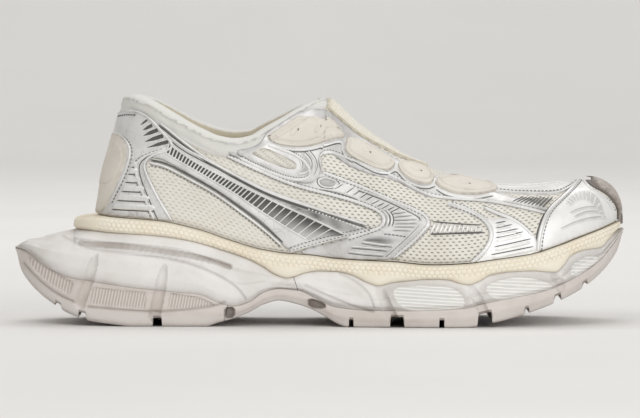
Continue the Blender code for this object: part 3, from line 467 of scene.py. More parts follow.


# dark colour for cracks and soiling, and for painted shade in valleys, at joints and along edges
soilAndShadeGrey = (0.13, 0.125, 0.12)
knit = knitFinish("knitMesh", {
    "cloth": (0.86, 0.835, 0.77), "aged": (0.73, 0.685, 0.59), "shade": (0.58, 0.55, 0.48),
    "hole": (0.24, 0.22, 0.19), "collar": (0.74, 0.735, 0.70), "dirtAndShade": (0.30, 0.27, 0.22), "stain": 0.5,
    "grime": 0.75, "front": 0.55, "rear": 0.22, "holePitch": 0.0033, "rowPitch": 0.0018, "holeWide": 0.27,
    "holeTall": 0.24,
})
liningCloth = clothFinish("liningCloth", {
    "cloth": (0.72, 0.66, 0.52), "aged": (0.62, 0.54, 0.39), "shade": (0.48, 0.42, 0.30),
    "dirtAndShade": (0.30, 0.25, 0.18), "stain": 0.6, "stainScale": 22.0, "grime": 0.7, "sheen": 0.25,
    "weave": 0.0009,
})
insoleCloth = clothFinish("insoleCloth", {
    "cloth": (0.66, 0.62, 0.53), "aged": (0.55, 0.49, 0.38), "shade": (0.42, 0.38, 0.30),
    "dirtAndShade": (0.24, 0.20, 0.15), "stain": 0.7, "stainScale": 18.0, "grime": 0.8, "sheen": 0.2,
    "weave": 0.0011, "rib": 0.25, "ribPitch": 0.0042,
})
stretchKnit = clothFinish("stretchKnit", {
    "cloth": (0.83, 0.80, 0.70), "aged": (0.76, 0.70, 0.56), "shade": (0.62, 0.57, 0.45),
    "dirtAndShade": (0.42, 0.36, 0.26), "stain": 0.5, "stainScale": 30.0, "grime": 0.8, "sheen": 0.3,
    "weave": 0.0006, "rib": 0.8, "ribZ": -0.6, "ribPitch": 0.0019,
})
silver = filmFinish("silverFilm", {
    "film": (0.85, 0.845, 0.84), "tarnish": (0.70, 0.69, 0.675), "dark": (0.060, 0.060, 0.056),
    "dirtAndShade": soilAndShadeGrey, "lowShare": 0.97, "grime": 0.62, "cracks": 0.28, "crackScale": 170.0, "metal": 0.45,
    "rough": 0.33, "coat": 0.4,
})
paleSilver = filmFinish("paleSilverFilm", {
    "film": (0.83, 0.83, 0.82), "tarnish": (0.70, 0.69, 0.675), "dark": (0.30, 0.29, 0.28),
    "dirtAndShade": (0.22, 0.21, 0.20), "lowShare": 0.7, "grime": 0.6, "cracks": 0.2, "crackScale": 150.0,
    "metal": 0.35, "rough": 0.36, "coat": 0.3,
})
greySilver = filmFinish("greySilverFilm", {
    "film": (0.76, 0.755, 0.75), "tarnish": (0.56, 0.545, 0.53), "dark": (0.10, 0.10, 0.095),
    "dirtAndShade": soilAndShadeGrey, "lowShare": 0.9, "grime": 0.75, "cracks": 0.2, "crackScale": 170.0, "metal": 0.4,
    "rough": 0.35, "coat": 0.3,
})
brightSilver = filmFinish("brightSilverFilm", {
    "film": (0.90, 0.90, 0.89), "tarnish": (0.82, 0.815, 0.80), "dark": (0.16, 0.155, 0.15),
    "dirtAndShade": (0.20, 0.19, 0.18), "lowShare": 0.9, "grime": 0.6, "cracks": 0.18, "crackScale": 160.0,
    "metal": 0.22, "rough": 0.36, "coat": 0.3,
})
# dark film for seams, slots and stitches, also laid as painted shadow lines beside and under raised beads
darkFilmAndShadow = filmFinish("darkFilmAndShadow", {
    "film": (0.13, 0.13, 0.125), "tarnish": (0.09, 0.09, 0.086), "dark": (0.04, 0.04, 0.04),
    "dirtAndShade": (0.04, 0.04, 0.04), "lowShare": 0.7, "grime": 0.6, "cracks": 0.2, "crackScale": 160.0,
    "metal": 0.5, "rough": 0.36, "coat": 0.3,
})
beigeRubber = rubberFinish("beigeRubber", {
    "base": (0.72, 0.68, 0.615), "aged": (0.63, 0.585, 0.515), "panel": (0.72, 0.68, 0.615),
    "frame": (0.50, 0.47, 0.42), "lower": (0.72, 0.68, 0.615), "dark": (0.30, 0.27, 0.23),
    "dirtAndShade": (0.27, 0.24, 0.20), "lowShare": 0.6, "stain": 0.6, "stainScale": 60.0, "grime": 0.75,
    "gloss": 0.4, "rough": 0.5, "grain": 0.7, "grainScale": 1100.0,
})
creamFoam = rubberFinish("creamFoam", {
    "base": (0.86, 0.81, 0.69), "aged": (0.79, 0.70, 0.54), "panel": (0.80, 0.73, 0.57),
    "frame": (0.62, 0.52, 0.37), "lower": (0.88, 0.83, 0.71), "dark": (0.52, 0.40, 0.27),
    "dirtAndShade": (0.47, 0.37, 0.25), "lowShare": 0.75, "stain": 0.6, "stainScale": 34.0, "grime": 0.5,
    "gloss": 0.35, "rough": 0.55, "grain": 0.35, "grainScale": 1400.0,
})
whiteFoam = rubberFinish("whiteFoam", {
    "base": (0.79, 0.775, 0.755), "aged": (0.68, 0.655, 0.625), "panel": (0.86, 0.855, 0.83),
    "frame": (0.53, 0.50, 0.475), "lower": (0.79, 0.775, 0.75), "dark": (0.26, 0.23, 0.21),
    "dirtAndShade": (0.32, 0.27, 0.235), "lowShare": 0.7, "stain": 0.75, "stainScale": 40.0, "grime": 0.65,
    "gloss": 0.35, "rough": 0.5, "grain": 0.9, "grainScale": 900.0, "linePitch": 0.0018, "lineSlope": 0.06,
})
outsoleRubber = rubberFinish("outsoleRubber", {
    "base": (0.67, 0.62, 0.585), "aged": (0.57, 0.515, 0.475), "panel": (0.76, 0.71, 0.67),
    "frame": (0.45, 0.40, 0.37), "lower": (0.68, 0.64, 0.61), "dark": (0.16, 0.13, 0.11),
    "dirtAndShade": (0.33, 0.27, 0.23), "lowShare": 0.8, "stain": 0.7, "stainScale": 45.0, "grime": 0.7,
    "gloss": 0.4, "rough": 0.52, "grain": 0.6, "grainScale": 1000.0, "ribY": 0.25, "ribZ": -0.2,
    "ribPitch": 0.0016, "ribShade": 0.5,
})
bumperRubber = rubberFinish("bumperRubber", {
    "base": (0.50, 0.46, 0.42), "aged": (0.35, 0.31, 0.27), "panel": (0.5, 0.5, 0.5),
    "frame": (0.36, 0.33, 0.30), "lower": (0.5, 0.5, 0.5), "dark": (0.12, 0.10, 0.09),
    "dirtAndShade": (0.16, 0.13, 0.11), "lowShare": 0.8, "stain": 0.9, "stainScale": 420.0, "grime": 0.8,
    "gloss": 0.35, "rough": 0.6, "grain": 3.0, "grainScale": 700.0,
})
threadGrey = clothFinish("threadGrey", {
    "cloth": (0.20, 0.19, 0.18), "aged": (0.30, 0.28, 0.25), "shade": (0.10, 0.10, 0.09),
    "dirtAndShade": (0.06, 0.06, 0.05), "stain": 0.5, "stainScale": 90.0, "grime": 0.4, "sheen": 0.1,
    "weave": 0.0004, "rib": 0.5, "ribZ": 1.0, "ribPitch": 0.0006,
})
print("finishes mixed")

place = Vector((-0.1676, -0.00065, 0.0))  # from the back of the sole to the middle of the frame's box


def setMask(mesh, name, values):
    mesh.attributes.new(name, "FLOAT", "POINT").data.foreach_set("value", values)


def sheetFrom(points, build=None, finish=0, **masks):
    # a bmesh grid laid on rows of points, with its masks
    rows, steps = points.shape[:2]
    sheet = bmesh.new()
    bmesh.ops.create_grid(sheet, x_segments=rows - 1, y_segments=steps - 1, size=1.0)
    mesh = bpy.data.meshes.new("sheet")
    sheet.to_mesh(mesh)
    sheet.free()
    flat = np.empty(len(mesh.vertices) * 3)
    mesh.vertices.foreach_get("co", flat)
    flat = flat.reshape(-1, 3)
    i = np.rint((flat[:, 0] + 1) / 2 * (rows - 1)).astype(int)
    j = np.rint((flat[:, 1] + 1) / 2 * (steps - 1)).astype(int)
    mesh.vertices.foreach_set("co", points[i, j].ravel())
    for name, values in masks.items():
        setMask(mesh, name, np.broadcast_to(values, (rows, steps))[i, j])
    mesh.polygons.foreach_set("material_index", np.full(len(mesh.polygons), finish))
    build = build or bmesh.new()
    build.from_mesh(mesh)
    bpy.data.meshes.remove(mesh)
    return build


def tidy(build, distance=1e-6):
    bmesh.ops.remove_doubles(build, verts=build.verts, dist=distance)
    bmesh.ops.dissolve_degenerate(build, dist=distance, edges=build.edges)
    bmesh.ops.recalc_face_normals(build, faces=build.faces)
    if build.calc_volume(signed=True) < 0:
        bmesh.ops.reverse_faces(build, faces=build.faces)


def finishPiece(name, build, finishes, nodes=(), angle=40):
    mesh = bpy.data.meshes.new(name)
    build.to_mesh(mesh)
    build.free()
    for finish in finishes:
        mesh.materials.append(finish)
    mesh.transform(Matrix.Translation(place))
    mesh.shade_smooth()
    mesh.set_sharp_from_angle(angle=math.radians(angle))
    piece = bpy.data.objects.new(name, mesh)
    bpy.context.scene.collection.objects.link(piece)
    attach(piece, "root")
    if nodes:
        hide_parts(*nodes)
    return piece


def pointsOf(piece):
    # places of a piece's points in the shoe's own measures
    flat = np.empty(len(piece.data.vertices) * 3)
    piece.data.vertices.foreach_get("co", flat)
    return flat.reshape(-1, 3) - np.array(place)


def paint(piece, **masks):
    for name, values in masks.items():
        setMask(piece.data, name, np.clip(values, 0.0, 1.0))


def maskOf(piece, name):
    values = np.empty(len(piece.data.vertices))
    piece.data.attributes[name].data.foreach_get("value", values)
    return values


def layCloth(piece):
    # the piece's cloth lengths as its UV map
    mesh = piece.data
    ends = np.empty(len(mesh.loops), int)
    mesh.loops.foreach_get("vertex_index", ends)
    cloth = np.stack([maskOf(piece, "clothU"), maskOf(piece, "clothV")], 1)[ends]
    mesh.uv_layers.new(name="cloth").data.foreach_set("uv", cloth.ravel())


def runOf(points):
    # length along a line at each of its points
    return np.concatenate([[0.0], np.cumsum(np.linalg.norm(np.diff(points, axis=0), axis=-1))])


def unit(vectors, least=1e-12):
    return vectors / np.maximum(np.linalg.norm(vectors, axis=-1, keepdims=True), least)


def rounded(points, rounds=2, closed=True):
    # corners cut off a line of points, twice makes them soft
    points = np.array(points, float)
    for _ in range(rounds):
        after = np.roll(points, -1, 0) if closed else points[1:]
        before = points if closed else points[:-1]
        near, far = before * 0.75 + after * 0.25, before * 0.25 + after * 0.75
        cut = np.stack([near, far], 1).reshape(-1, points.shape[1])
        points = cut if closed else np.concatenate([points[:1], cut, points[-1:]])
    return points


def evenly(points, pitch, closed=True):
    # the same line with its points a pitch apart
    points = np.array(points, float)
    if closed:
        points = np.concatenate([points, points[:1]])
    run = runOf(points)
    count = max(3, int(round(run[-1] / pitch)))
    at = np.linspace(0.0, run[-1], count + 1)
    if closed:
        at = at[:-1]
    return np.stack([np.interp(at, run, points[:, k]) for k in range(points.shape[1])], 1)


def millimetres(points):
    return np.array(points, float) / 1000


def softLine(points):
    # a line drawn in millimetres, with its corners softened, in metres
    return rounded(millimetres(points), 2, False)


def softArea(points):
    return rounded(millimetres(points))


def reachInside(outline, x, z):
    # how far inside a closed outline each place is, negative outside, in metres
    a = np.asarray(outline, float)
    b = np.roll(a, -1, 0)
    best = np.full(np.shape(x), 1e9)
    odd = np.zeros(np.shape(x), bool)
    for (ax, az), (bx, bz) in zip(a, b):
        dx, dz = bx - ax, bz - az
        t = np.clip(((x - ax) * dx + (z - az) * dz) / max(dx * dx + dz * dz, 1e-15), 0.0, 1.0)
        best = np.minimum(best, np.hypot(x - ax - t * dx, z - az - t * dz))
        if dz:
            odd ^= ((az > z) != (bz > z)) & (x < ax + (z - az) / dz * dx)
    return np.where(odd, best, -best)


def reachOf(line, x, z):
    # distance from an open line, and the share of the way along it
    a = np.asarray(line, float)
    run = runOf(a)
    best, share = np.full(np.shape(x), 1e9), np.zeros(np.shape(x))
    for k in range(len(a) - 1):
        dx, dz = a[k + 1] - a[k]
        t = np.clip(((x - a[k, 0]) * dx + (z - a[k, 1]) * dz) / (dx * dx + dz * dz), 0.0, 1.0)
        off = np.hypot(x - a[k, 0] - t * dx, z - a[k, 1] - t * dz)
        share = np.where(off < best, (run[k] + t * (run[k + 1] - run[k])) / run[-1], share)
        best = np.minimum(best, off)
    return best, share


def evenTurns(plan, count, extra=()):
    fine = np.linspace(0.0, math.pi, 4001)
    x, y = plan.base(fine, 1)
    run = np.concatenate([[0.0], np.cumsum(np.hypot(np.diff(x), np.diff(y)))])
    turns = np.interp(np.linspace(0.0, run[-1], count + 1), run, fine)
    turns[0], turns[-1] = 0.0, math.pi
    return np.unique(np.concatenate([turns, extra]))


def splitAcross(build, along, lean, side, gap=0.00015):
    # keeps one end of the form: side -1 the rear, 1 the front
    x = along * shoe["length"] + side * gap
    normal = Vector((1.0, 0.0, -lean)).normalized() * -side
    everything = list(build.verts) + list(build.edges) + list(build.faces)
    middle = Vector((x, 0.0, shoe["soleHeight"] / 2))
    result = bmesh.ops.bisect_plane(
        build, geom=everything, plane_co=middle, plane_no=normal, clear_outer=True, dist=1e-6,
    )
    edges = [item for item in result["geom_cut"] if isinstance(item, bmesh.types.BMEdge)]
    bmesh.ops.edgenet_fill(build, edges=edges)


# Sole. Panels and channels are drawn in the side view, in millimetres.
soleLook = {
    "stations": 600,
    "sideRows": 30,
    "floorRows": 22,
    "rubberWall": 0.0032,
    "rubberFloor": 0.0078,
    "lugDepth": 0.0052,
    "channelDepth": 0.0030,
    "panelDepth": 0.0009,
    "frameRise": 0.0005,
    "slitDepth": 0.0028,
    "joint": 0.00012,
    "keelRise": 0.0024,
    "laneRise": 0.0014,
    "laneOff": 0.021,
}
ribPanels = [  # sunk panels with upright ribs, heel rubber
    [
        (8.2, 37.1), (9.4, 36.9), (19.8, 30.8), (28.6, 25.9), (33.0, 23.7), (33.6, 23.4), (31.4, 17.6),
        (30.8, 17.3), (22.0, 21.5), (12.1, 29.2), (7.7, 35.2),
    ],
    [
        (44.0, 21.2), (45.1, 21.2), (72.1, 18.4), (73.2, 18.2), (72.3, 9.9), (71.5, 9.9), (43.5, 12.1),
        (42.6, 12.7),
    ],
    [
        (86.4, 18.2), (88.0, 17.9), (101.2, 16.2), (108.9, 12.9), (110.0, 11.8), (108.4, 11.3), (95.7, 10.2),
        (85.8, 9.9), (85.2, 10.5),
    ],
]
linePanels = [  # sunk white panels with lying lines, forefoot foam
    [(205.2, 20.4), (213.4, 22.6), (236.5, 22.6), (243.7, 18.7), (245.9, 12.7), (242.0, 10.5), (211.8, 8.8)],
    [
        (255.2, 22.6), (265.7, 26.4), (277.2, 27.5), (287.1, 25.3), (293.2, 22.6), (292.1, 19.8),
        (276.1, 17.1), (260.2, 14.9),
    ],
    [(302.5, 31.9), (308.0, 35.8), (314.6, 38.0), (319.6, 36.3), (317.9, 32.5), (310.8, 28.6), (304.2, 25.9)],
]
podFrames = [  # grained frames round the panels
    [(199.1, 20.9), (210.1, 24.8), (236.5, 24.8), (246.4, 20.4), (250.8, 11.0), (247.5, 7.7), (209.0, 7.2)],
    [
        (250.8, 22.0), (264.0, 28.1), (278.3, 29.7), (291.5, 28.6), (297.0, 22.6), (295.9, 17.6),
        (276.1, 13.8), (258.5, 11.0),
    ],
    [(297.0, 29.7), (303.6, 36.9), (313.0, 40.2), (322.9, 40.2), (323.4, 34.1), (314.6, 27.5), (302.5, 22.6)],
]
facetPanel = [
    (154.0, 26.4), (162.8, 29.7), (178.2, 28.1), (187.0, 24.2), (193.6, 17.6), (196.4, 11.0), (183.7, 12.7),
    (171.6, 17.6),
]
channels = [  # tapered upright channels: low point, high point, half width, depth share
    ((36.9, 12.1), (46.8, 39.6), 3.1, 1.0),
    ((77.6, 5.5), (83.6, 34.1), 3.2, 1.0),
    ((206.3, 5.5), (195.3, 28.6), 2.9, 0.75),
    ((255.8, 7.7), (244.8, 29.7), 2.7, 0.75),
    ((297.6, 20.9), (289.9, 36.3), 2.4, 0.7),
]
# the slits are shallow grooves, painted dark as shade
slits = [  # fine dark lines: points, width in millimetres
    (
        [(26.4, 47.9), (41.8, 41.8), (63.3, 39.6), (90.2, 36.3), (109.5, 29.7), (122.1, 22.0), (127.1, 14.9)],
        0.7,
    ),
    ([(195.8, 8.8), (184.8, 11.6), (172.7, 16.5), (159.5, 22.6)], 0.8),
    ([(196.4, 11.0), (193.6, 18.7), (187.0, 24.8), (178.2, 28.6)], 0.7),
    ([(5.5, 33.0), (14.3, 24.2), (24.2, 17.1), (33.6, 13.2)], 0.8),
    ([(41.8, 10.5), (72.6, 8.2), (84.7, 8.2), (108.9, 11.0), (115.5, 13.2)], 0.8),
]
heelGroove = (
    [(37.4, 44.8), (46.2, 44.0), (62.7, 43.2), (79.2, 41.2), (95.7, 38.8), (108.9, 35.8), (118.3, 32.5)],
    2.3,
)
heelRibs = {
    "from": (61.6, 44.3), "to": (115.5, 35.2), "count": 17, "lean": (1.9, 1.5), "half": 0.85, "rise": 0.0008,
}
treadSlots = columns("along width depth", [
    (0.075, 0.0035, 0.45), (0.115, 0.0045, 0.70), (0.237, 0.0052, 0.90), (0.551, 0.0026, 0.85),
    (0.625, 0.0075, 1.15), (0.697, 0.0028, 0.85), (0.767, 0.0078, 1.25), (0.835, 0.0026, 0.60),
    (0.886, 0.0040, 0.70), (0.932, 0.0030, 0.50),
])
# the slots are sunk 3 mm and painted dark as shade
blindSlots = [  # dark windows in the arch and beside the heel
    [(160.6, 16.0), (170.0, 13.2), (170.0, 9.9), (160.6, 10.5)],
    [(115.5, 10.5), (121.0, 11.0), (121.0, 5.0), (115.5, 4.4)],
]
channelLines = [(millimetres((low, high)), half / 1000, share) for low, high, half, share in channels]
ribAreas = [softArea(panel) for panel in ribPanels]
lineAreas = [softArea(panel) for panel in linePanels]
frameAreas = [softArea(panel) for panel in podFrames]
facetArea = softArea(facetPanel)
slotAreas = [rounded(millimetres(panel), 1) for panel in blindSlots]
slitLines = [(softLine(points), wide / 1000) for points, wide in slits]
grooveLine = softLine(heelGroove[0])


def channelDepth(x, z):
    found = np.zeros(np.shape(x))
    for (low, high), half, share in channelLines:
        off, t = reachOf((low, high), x, z)
        wide = half * np.sqrt(np.clip(1.0 - t**3, 0.0, 1.0)) + 1e-6
        inside = np.clip(1.0 - (off / wide) ** 2, 0.0, 1.0)
        found = np.maximum(found, np.sqrt(inside) * share * ease(wide, 0.0, half * 0.8))
    return found


def areaOf(areas, x, z, soft=0.0004):
    found = np.zeros(np.shape(x))
    for area in areas:
        found = np.maximum(found, ease(reachInside(area, x, z), -soft, soft))
    return found


def ribRise(x, z):
    # short diagonal ribs over the heel's groove
    found = np.zeros(np.shape(x))
    (fromX, fromZ), (toX, toZ) = millimetres((heelRibs["from"], heelRibs["to"]))
    for k in range(heelRibs["count"]):
        share = k / (heelRibs["count"] - 1)
        middle = np.array(
            [
                fromX + (toX - fromX) * share,
                fromZ + (toZ - fromZ) * share - 0.0009 * math.sin(math.pi * share),
            ]
        )
        lean = np.array(heelRibs["lean"]) / 1000 * (0.6 + 0.5 * math.sin(math.pi * share**0.8))
        off, _ = reachOf(np.array([middle - lean, middle + lean]), x, z)
        found = np.maximum(found, heelRibs["rise"] * bell(off, heelRibs["half"] / 1000))
    return found


def soleRelief(x, z, rubber):
    # how far the side is pushed in at a place of the side view, in metres
    depth = channelDepth(x, z) * soleLook["channelDepth"]
    for line, wide in slitLines:
        off, _ = reachOf(line, x, z)
        depth += soleLook["slitDepth"] * 0.25 * bell(off, wide * 0.8)
    if rubber:
        depth += areaOf(ribAreas, x, z) * soleLook["panelDepth"]
    else:
        depth += areaOf(lineAreas, x, z, 0.0006) * soleLook["panelDepth"]
        depth -= areaOf(frameAreas, x, z, 0.0012) * soleLook["frameRise"]
        depth += ease(reachInside(facetArea, x, z), 0.0, 0.006) * 0.0012
    off, t = reachOf(grooveLine, x, z)
    wide = heelGroove[1] / 1000 * (0.35 + 0.65 * np.sin(math.pi * np.clip(t, 0, 1) ** 0.7))
    depth += 0.0018 * np.clip(1.0 - (off / wide) ** 2, 0.0, 1.0)
    depth -= ribRise(x, z)
    depth += areaOf(slotAreas, x, z, 0.0003) * 0.0030
    return depth


def treadDepth(x):
    found = np.zeros(np.shape(x))
    for along, width, depth in zip(*treadSlots.values()):
        off = np.abs(x - along * shoe["length"]) / (width / 2)
        found = np.maximum(found, (1.0 - ease(off, 0.86, 1.04)) * depth * soleLook["lugDepth"])
    return found


slotEdges = [
    soleOutline.turnAt(along * shoe["length"] + side * width * share)
    for along, width in zip(treadSlots["along"], treadSlots["width"])
    for side in (-1, 1)
    for share in (0.43, 0.52)
]
soleTurns = evenTurns(soleOutline, soleLook["stations"], slotEdges)[:, None]


def sideOf(turn, side, shares, outsets, lowLine, highLine, rubber, lift=0.0):
    # rows up one side between two lines, with the relief pushed in
    x, _ = soleOutline.base(turn, side)
    low, high = soleZ(lowLine, x) + lift, soleZ(highLine, x)
    z = low + (high - low) * shares
    x = np.broadcast_to(x, z.shape)
    pushed = outsets - soleRelief(x, z, rubber)
    edgeX, edgeY = soleOutline.edge(turn, side, pushed)
    low, high = soleZ(lowLine, edgeX) + lift, soleZ(highLine, edgeX)
    return np.stack([edgeX, edgeY, low + (high - low) * shares], -1)


def wellCorner(turn, side):
    x, y = soleOutline.edge(turn, side, -soleLook["rubberWall"] - 0.0012)
    top = soleZ(rubberLine, x)
    well = np.minimum(soleZ(floorLine, x) + soleLook["rubberFloor"], top - 0.0006)
    return x, y, top, well


def outsoleRings():
    shares = np.linspace(0.0, 1.0, soleLook["sideRows"])
    outsets = curve(
        np.array([0.0, 0.06, 0.22, 0.6, 0.94, 1.0]), np.array([-26, -10, -4, 6, 5, 1]) / 10000, shares,
    )
    sides = []
    for side in (-1, 1):
        rows = sideOf(soleTurns, side, shares, outsets, floorLine, rubberLine, True)
        x, y, top, well = wellCorner(soleTurns, side)
        sides.append(np.concatenate([rows, np.stack([x, y, top], -1), np.stack([x, y, well], -1)], 1))
    outer, inner = sides
    across = np.linspace(0.0, 1.0, soleLook["floorRows"] + 2)[1:-1][:, None]
    floor = inner[:, :1] * (1 - across.T[..., None]) + outer[:, :1] * across.T[..., None]
    width = np.abs(inner[:, :1, 1] - outer[:, :1, 1])
    middle = np.abs(across.T - 0.5) * width
    rise = soleLook["keelRise"] * (1.0 - ease(middle, 0.0045, 0.0058)) * ease(width, 0.012, 0.03)
    lane = soleLook["laneRise"] * (1.0 - ease(np.abs(middle - soleLook["laneOff"]), 0.0006, 0.0014))
    floor[..., 2] = soleZ(floorLine, floor[..., 0]) + rise + lane
    rings = np.concatenate([outer, inner[:, ::-1], floor, outer[:, :1]], 1)
    low = soleZ(floorLine, rings[..., 0]) + treadDepth(rings[..., 0])
    outside = np.ones(rings.shape[1], bool)
    rows = soleLook["sideRows"]
    outside[rows:rows + 4] = False
    rings[..., 2] = np.where(outside & (rings[..., 2] < low), low, rings[..., 2])
    return rings


def midsoleLevels(along):
    # share of the foam's height, share of the way to the rim's outline, outset: eight knots up the side
    part = curve(partingLine["along"], partingLine["height"], along)
    fore = np.clip((along - 0.36) / 0.10, 0.0, 1.0)
    valley, bulge, rest = 0.0026 * (1 - fore), 0.0012 * fore, 1 - part
    zero = np.zeros_like(part)
    return np.stack([
        np.stack([zero, zero, zero - 0.0002]),
        np.stack([part * 0.35, zero, 0.0009 + bulge]),
        np.stack([part * 0.75, zero, 0.0004 + bulge]),
        np.stack([part, zero + 0.06, bulge - 0.0002]),
        np.stack([part + 0.05 * rest, zero + 0.12, -valley]),
        np.stack([part + 0.42 * rest, zero + 0.42, bulge * 0.4 - valley * 0.75]),
        np.stack([part + 0.56 * rest, zero + 0.50, zero + 0.0002]),
        np.stack([zero + 1.0, zero + 1.0, zero]),
    ])


rimTip = rimOutline.base(evenTurns(rimOutline, 200)[:, None], 1)[0].max()


def midsoleRings():
    knots = np.arange(8.0)
    rows = np.linspace(0.0, 7.0, 46)
    sides = []
    for side in (-1, 1):
        x, _ = soleOutline.base(soleTurns, side)
        levels = midsoleLevels(x[:, 0] / shoe["length"])
        share, towards, outset = (
            np.stack([np.interp(rows, knots, levels[:, k, n]) for n in range(len(x))]) for k in range(3)
        )
        low, high = soleZ(rubberLine, x) + soleLook["joint"], soleZ(foamLine, x)
        z = low + (high - low) * share
        relief = soleRelief(np.broadcast_to(x, z.shape), z, False)
        nearX, nearY = soleOutline.edge(soleTurns, side, outset - relief)
        farX, farY = rimOutline.edge(rimOutline.turnAt(x), side, -0.0012)
        nearX = np.minimum(nearX, x.max() + 0.0008)
        farX = np.minimum(farX, rimTip - 0.0008)
        placeX, placeY = nearX + (farX - nearX) * towards, nearY + (farY - nearY) * towards
        low, high = soleZ(rubberLine, placeX) + soleLook["joint"], soleZ(foamLine, placeX)
        z = low + (high - low) * share
        x, y, top, well = wellCorner(soleTurns, side)
        y = y * 0.995
        foot = [np.stack([x, y, well + shoe["gap"]], -1), np.stack([x, y, top + shoe["seat"]], -1)]
        sides.append(np.concatenate(foot + [np.stack([placeX, placeY, z], -1)], 1))
    outer, inner = sides
    return np.concatenate([outer, inner[:, ::-1], outer[:, :1]], 1)


def soleMasks(piece, rubber):
    at = pointsOf(piece)
    x, z = at[:, 0], at[:, 2]
    low = channelDepth(x, z)
    line = np.zeros(len(x))
    for points, wide in slitLines:
        off, _ = reachOf(points, x, z)
        line = np.maximum(line, bell(off, wide))
    off, _ = reachOf(grooveLine, x, z)
    groove = 1.0 - ease(off, 0.0008, 0.0022)
    slots = areaOf(slotAreas, x, z)
    panels = areaOf(ribAreas if rubber else lineAreas, x, z, 0.0003)
    bottom = soleZ(floorLine, x)
    if rubber:
        border = areaOf([rounded(a, 0) for a in ribAreas], x, z, 0.0012)
        above = (z - bottom) / np.maximum(soleZ(rubberLine, x) - bottom, 0.001)
        notches = ease(treadDepth(x), 0.0008, 0.0028) * (z < bottom + treadDepth(x) + 0.0012)
        heel = 1.0 - ease(x, 0.110, 0.130)
        # painted shade with soiling near the floor, at the joint with the foam and in the channels; low is
        # painted shade in the slots, tread notches and slits
        grime = 0.55 * bell(z - bottom, 0.0030) + 0.6 * heel * ease(above, 0.86, 1.0) + 0.25 * low
        paint(piece, ribbed=panels, panel=panels * 0.6, framed=(border - panels) * 0.9,
              lower=1.0 - ease(above, 0.28, 0.36),
              low=np.maximum(np.maximum(slots, notches * 0.9), line * 0.55), grime=grime)
    else:
        top = soleZ(foamLine, x)
        under = soleZ(rubberLine, x)
        fore = ease(x, 0.128, 0.150)
        # painted shade with soiling along the joints, round the sunk panels and in the groove, and darker
        # towards the back of the heel
        grime = 0.75 * bell(z - under, 0.0017) * (1.0 - fore) + 0.6 * bell(top - z, 0.0009)
        grime += 0.5 * (areaOf(lineAreas, x, z, 0.0014) - panels) + groove * 0.8
        grime += 0.22 * (1.0 - ease(x, 0.010, 0.060))
        grime += 0.9 * (1.0 - ease(x, 0.004, 0.030)) * bell(z - under, 0.004)
        grime += 0.35 * (1.0 - ease(x, 0.0, 0.055)) * ease(x, 0.02, 0.04) * bell(top - z, 0.003)
        near = areaOf(frameAreas, x, z, 0.0022) * fore
        below = fore * (1.0 - ease(z - under, 0.0015, 0.0050))
        # the groove and the heel's joint with the rubber take the darker frame colour as painted shade
        framed = np.maximum(np.maximum(near, below) * 0.8 * (1.0 - panels), groove * 0.9)
        framed = np.maximum(framed, 0.45 * (1.0 - fore) * bell(z - under, 0.0035))
        # low is painted shade in the slits and channels
        paint(piece, lined=panels, panel=panels, framed=np.clip(framed, 0, 1),
              low=np.maximum(line * 0.5, low * fore * 0.35), grime=grime)


def buildSole():
    for name, side in (("heel_outsole", -1), ("forefoot_outsole", 1)):
        build = sheetFrom(outsoleRings())
        tidy(build)
        splitAcross(build, 0.365, 0.25, side)
        piece = finishPiece(name + "_rubber", build, [outsoleRubber], [name])
        soleMasks(piece, True)
    for name, side in (("heel_midsole", -1), ("forefoot_midsole", 1)):
        build = sheetFrom(midsoleRings())
        tidy(build)
        splitAcross(build, 0.455, -0.35, side)
        piece = finishPiece(name + "_foam", build, [whiteFoam], [name])
        soleMasks(piece, False)
    print("sole moulded")


rimLook = {
    "stations": 760,
    "rows": 26,
    "cell": 0.0029,
    "bump": 0.00050,
    "covered": 0.0074,
    "heelClear": 0.045,
}


def honeycomb(run, down, along):
    # rows of round cells: 1 in a cell's middle, 0 in the gaps, and how much of the pattern there is
    cell = rimLook["cell"]
    best = np.full(run.shape, 9.0)
    rowHeight = cell * 0.86
    row = np.floor(down / rowHeight)
    for step in (-1, 0, 1):
        here = row + step
        shift = np.where(np.mod(here, 2) > 0.5, cell / 2, 0.0)
        offRun = np.mod(run + shift, cell) - cell / 2
        offDown = down - (here + 0.5) * rowHeight
        best = np.minimum(best, np.hypot(offRun, offDown) / (cell / 2))
    covered = ease(along, rimLook["heelClear"] - 0.004, rimLook["heelClear"] + 0.012)
    reach = rimLook["covered"]
    covered = covered * (1.0 - ease(down, reach - 0.0012, reach)) * ease(down, 0.0004, 0.001)
    return np.clip(1.0 - best**3, 0.0, 1.0), covered


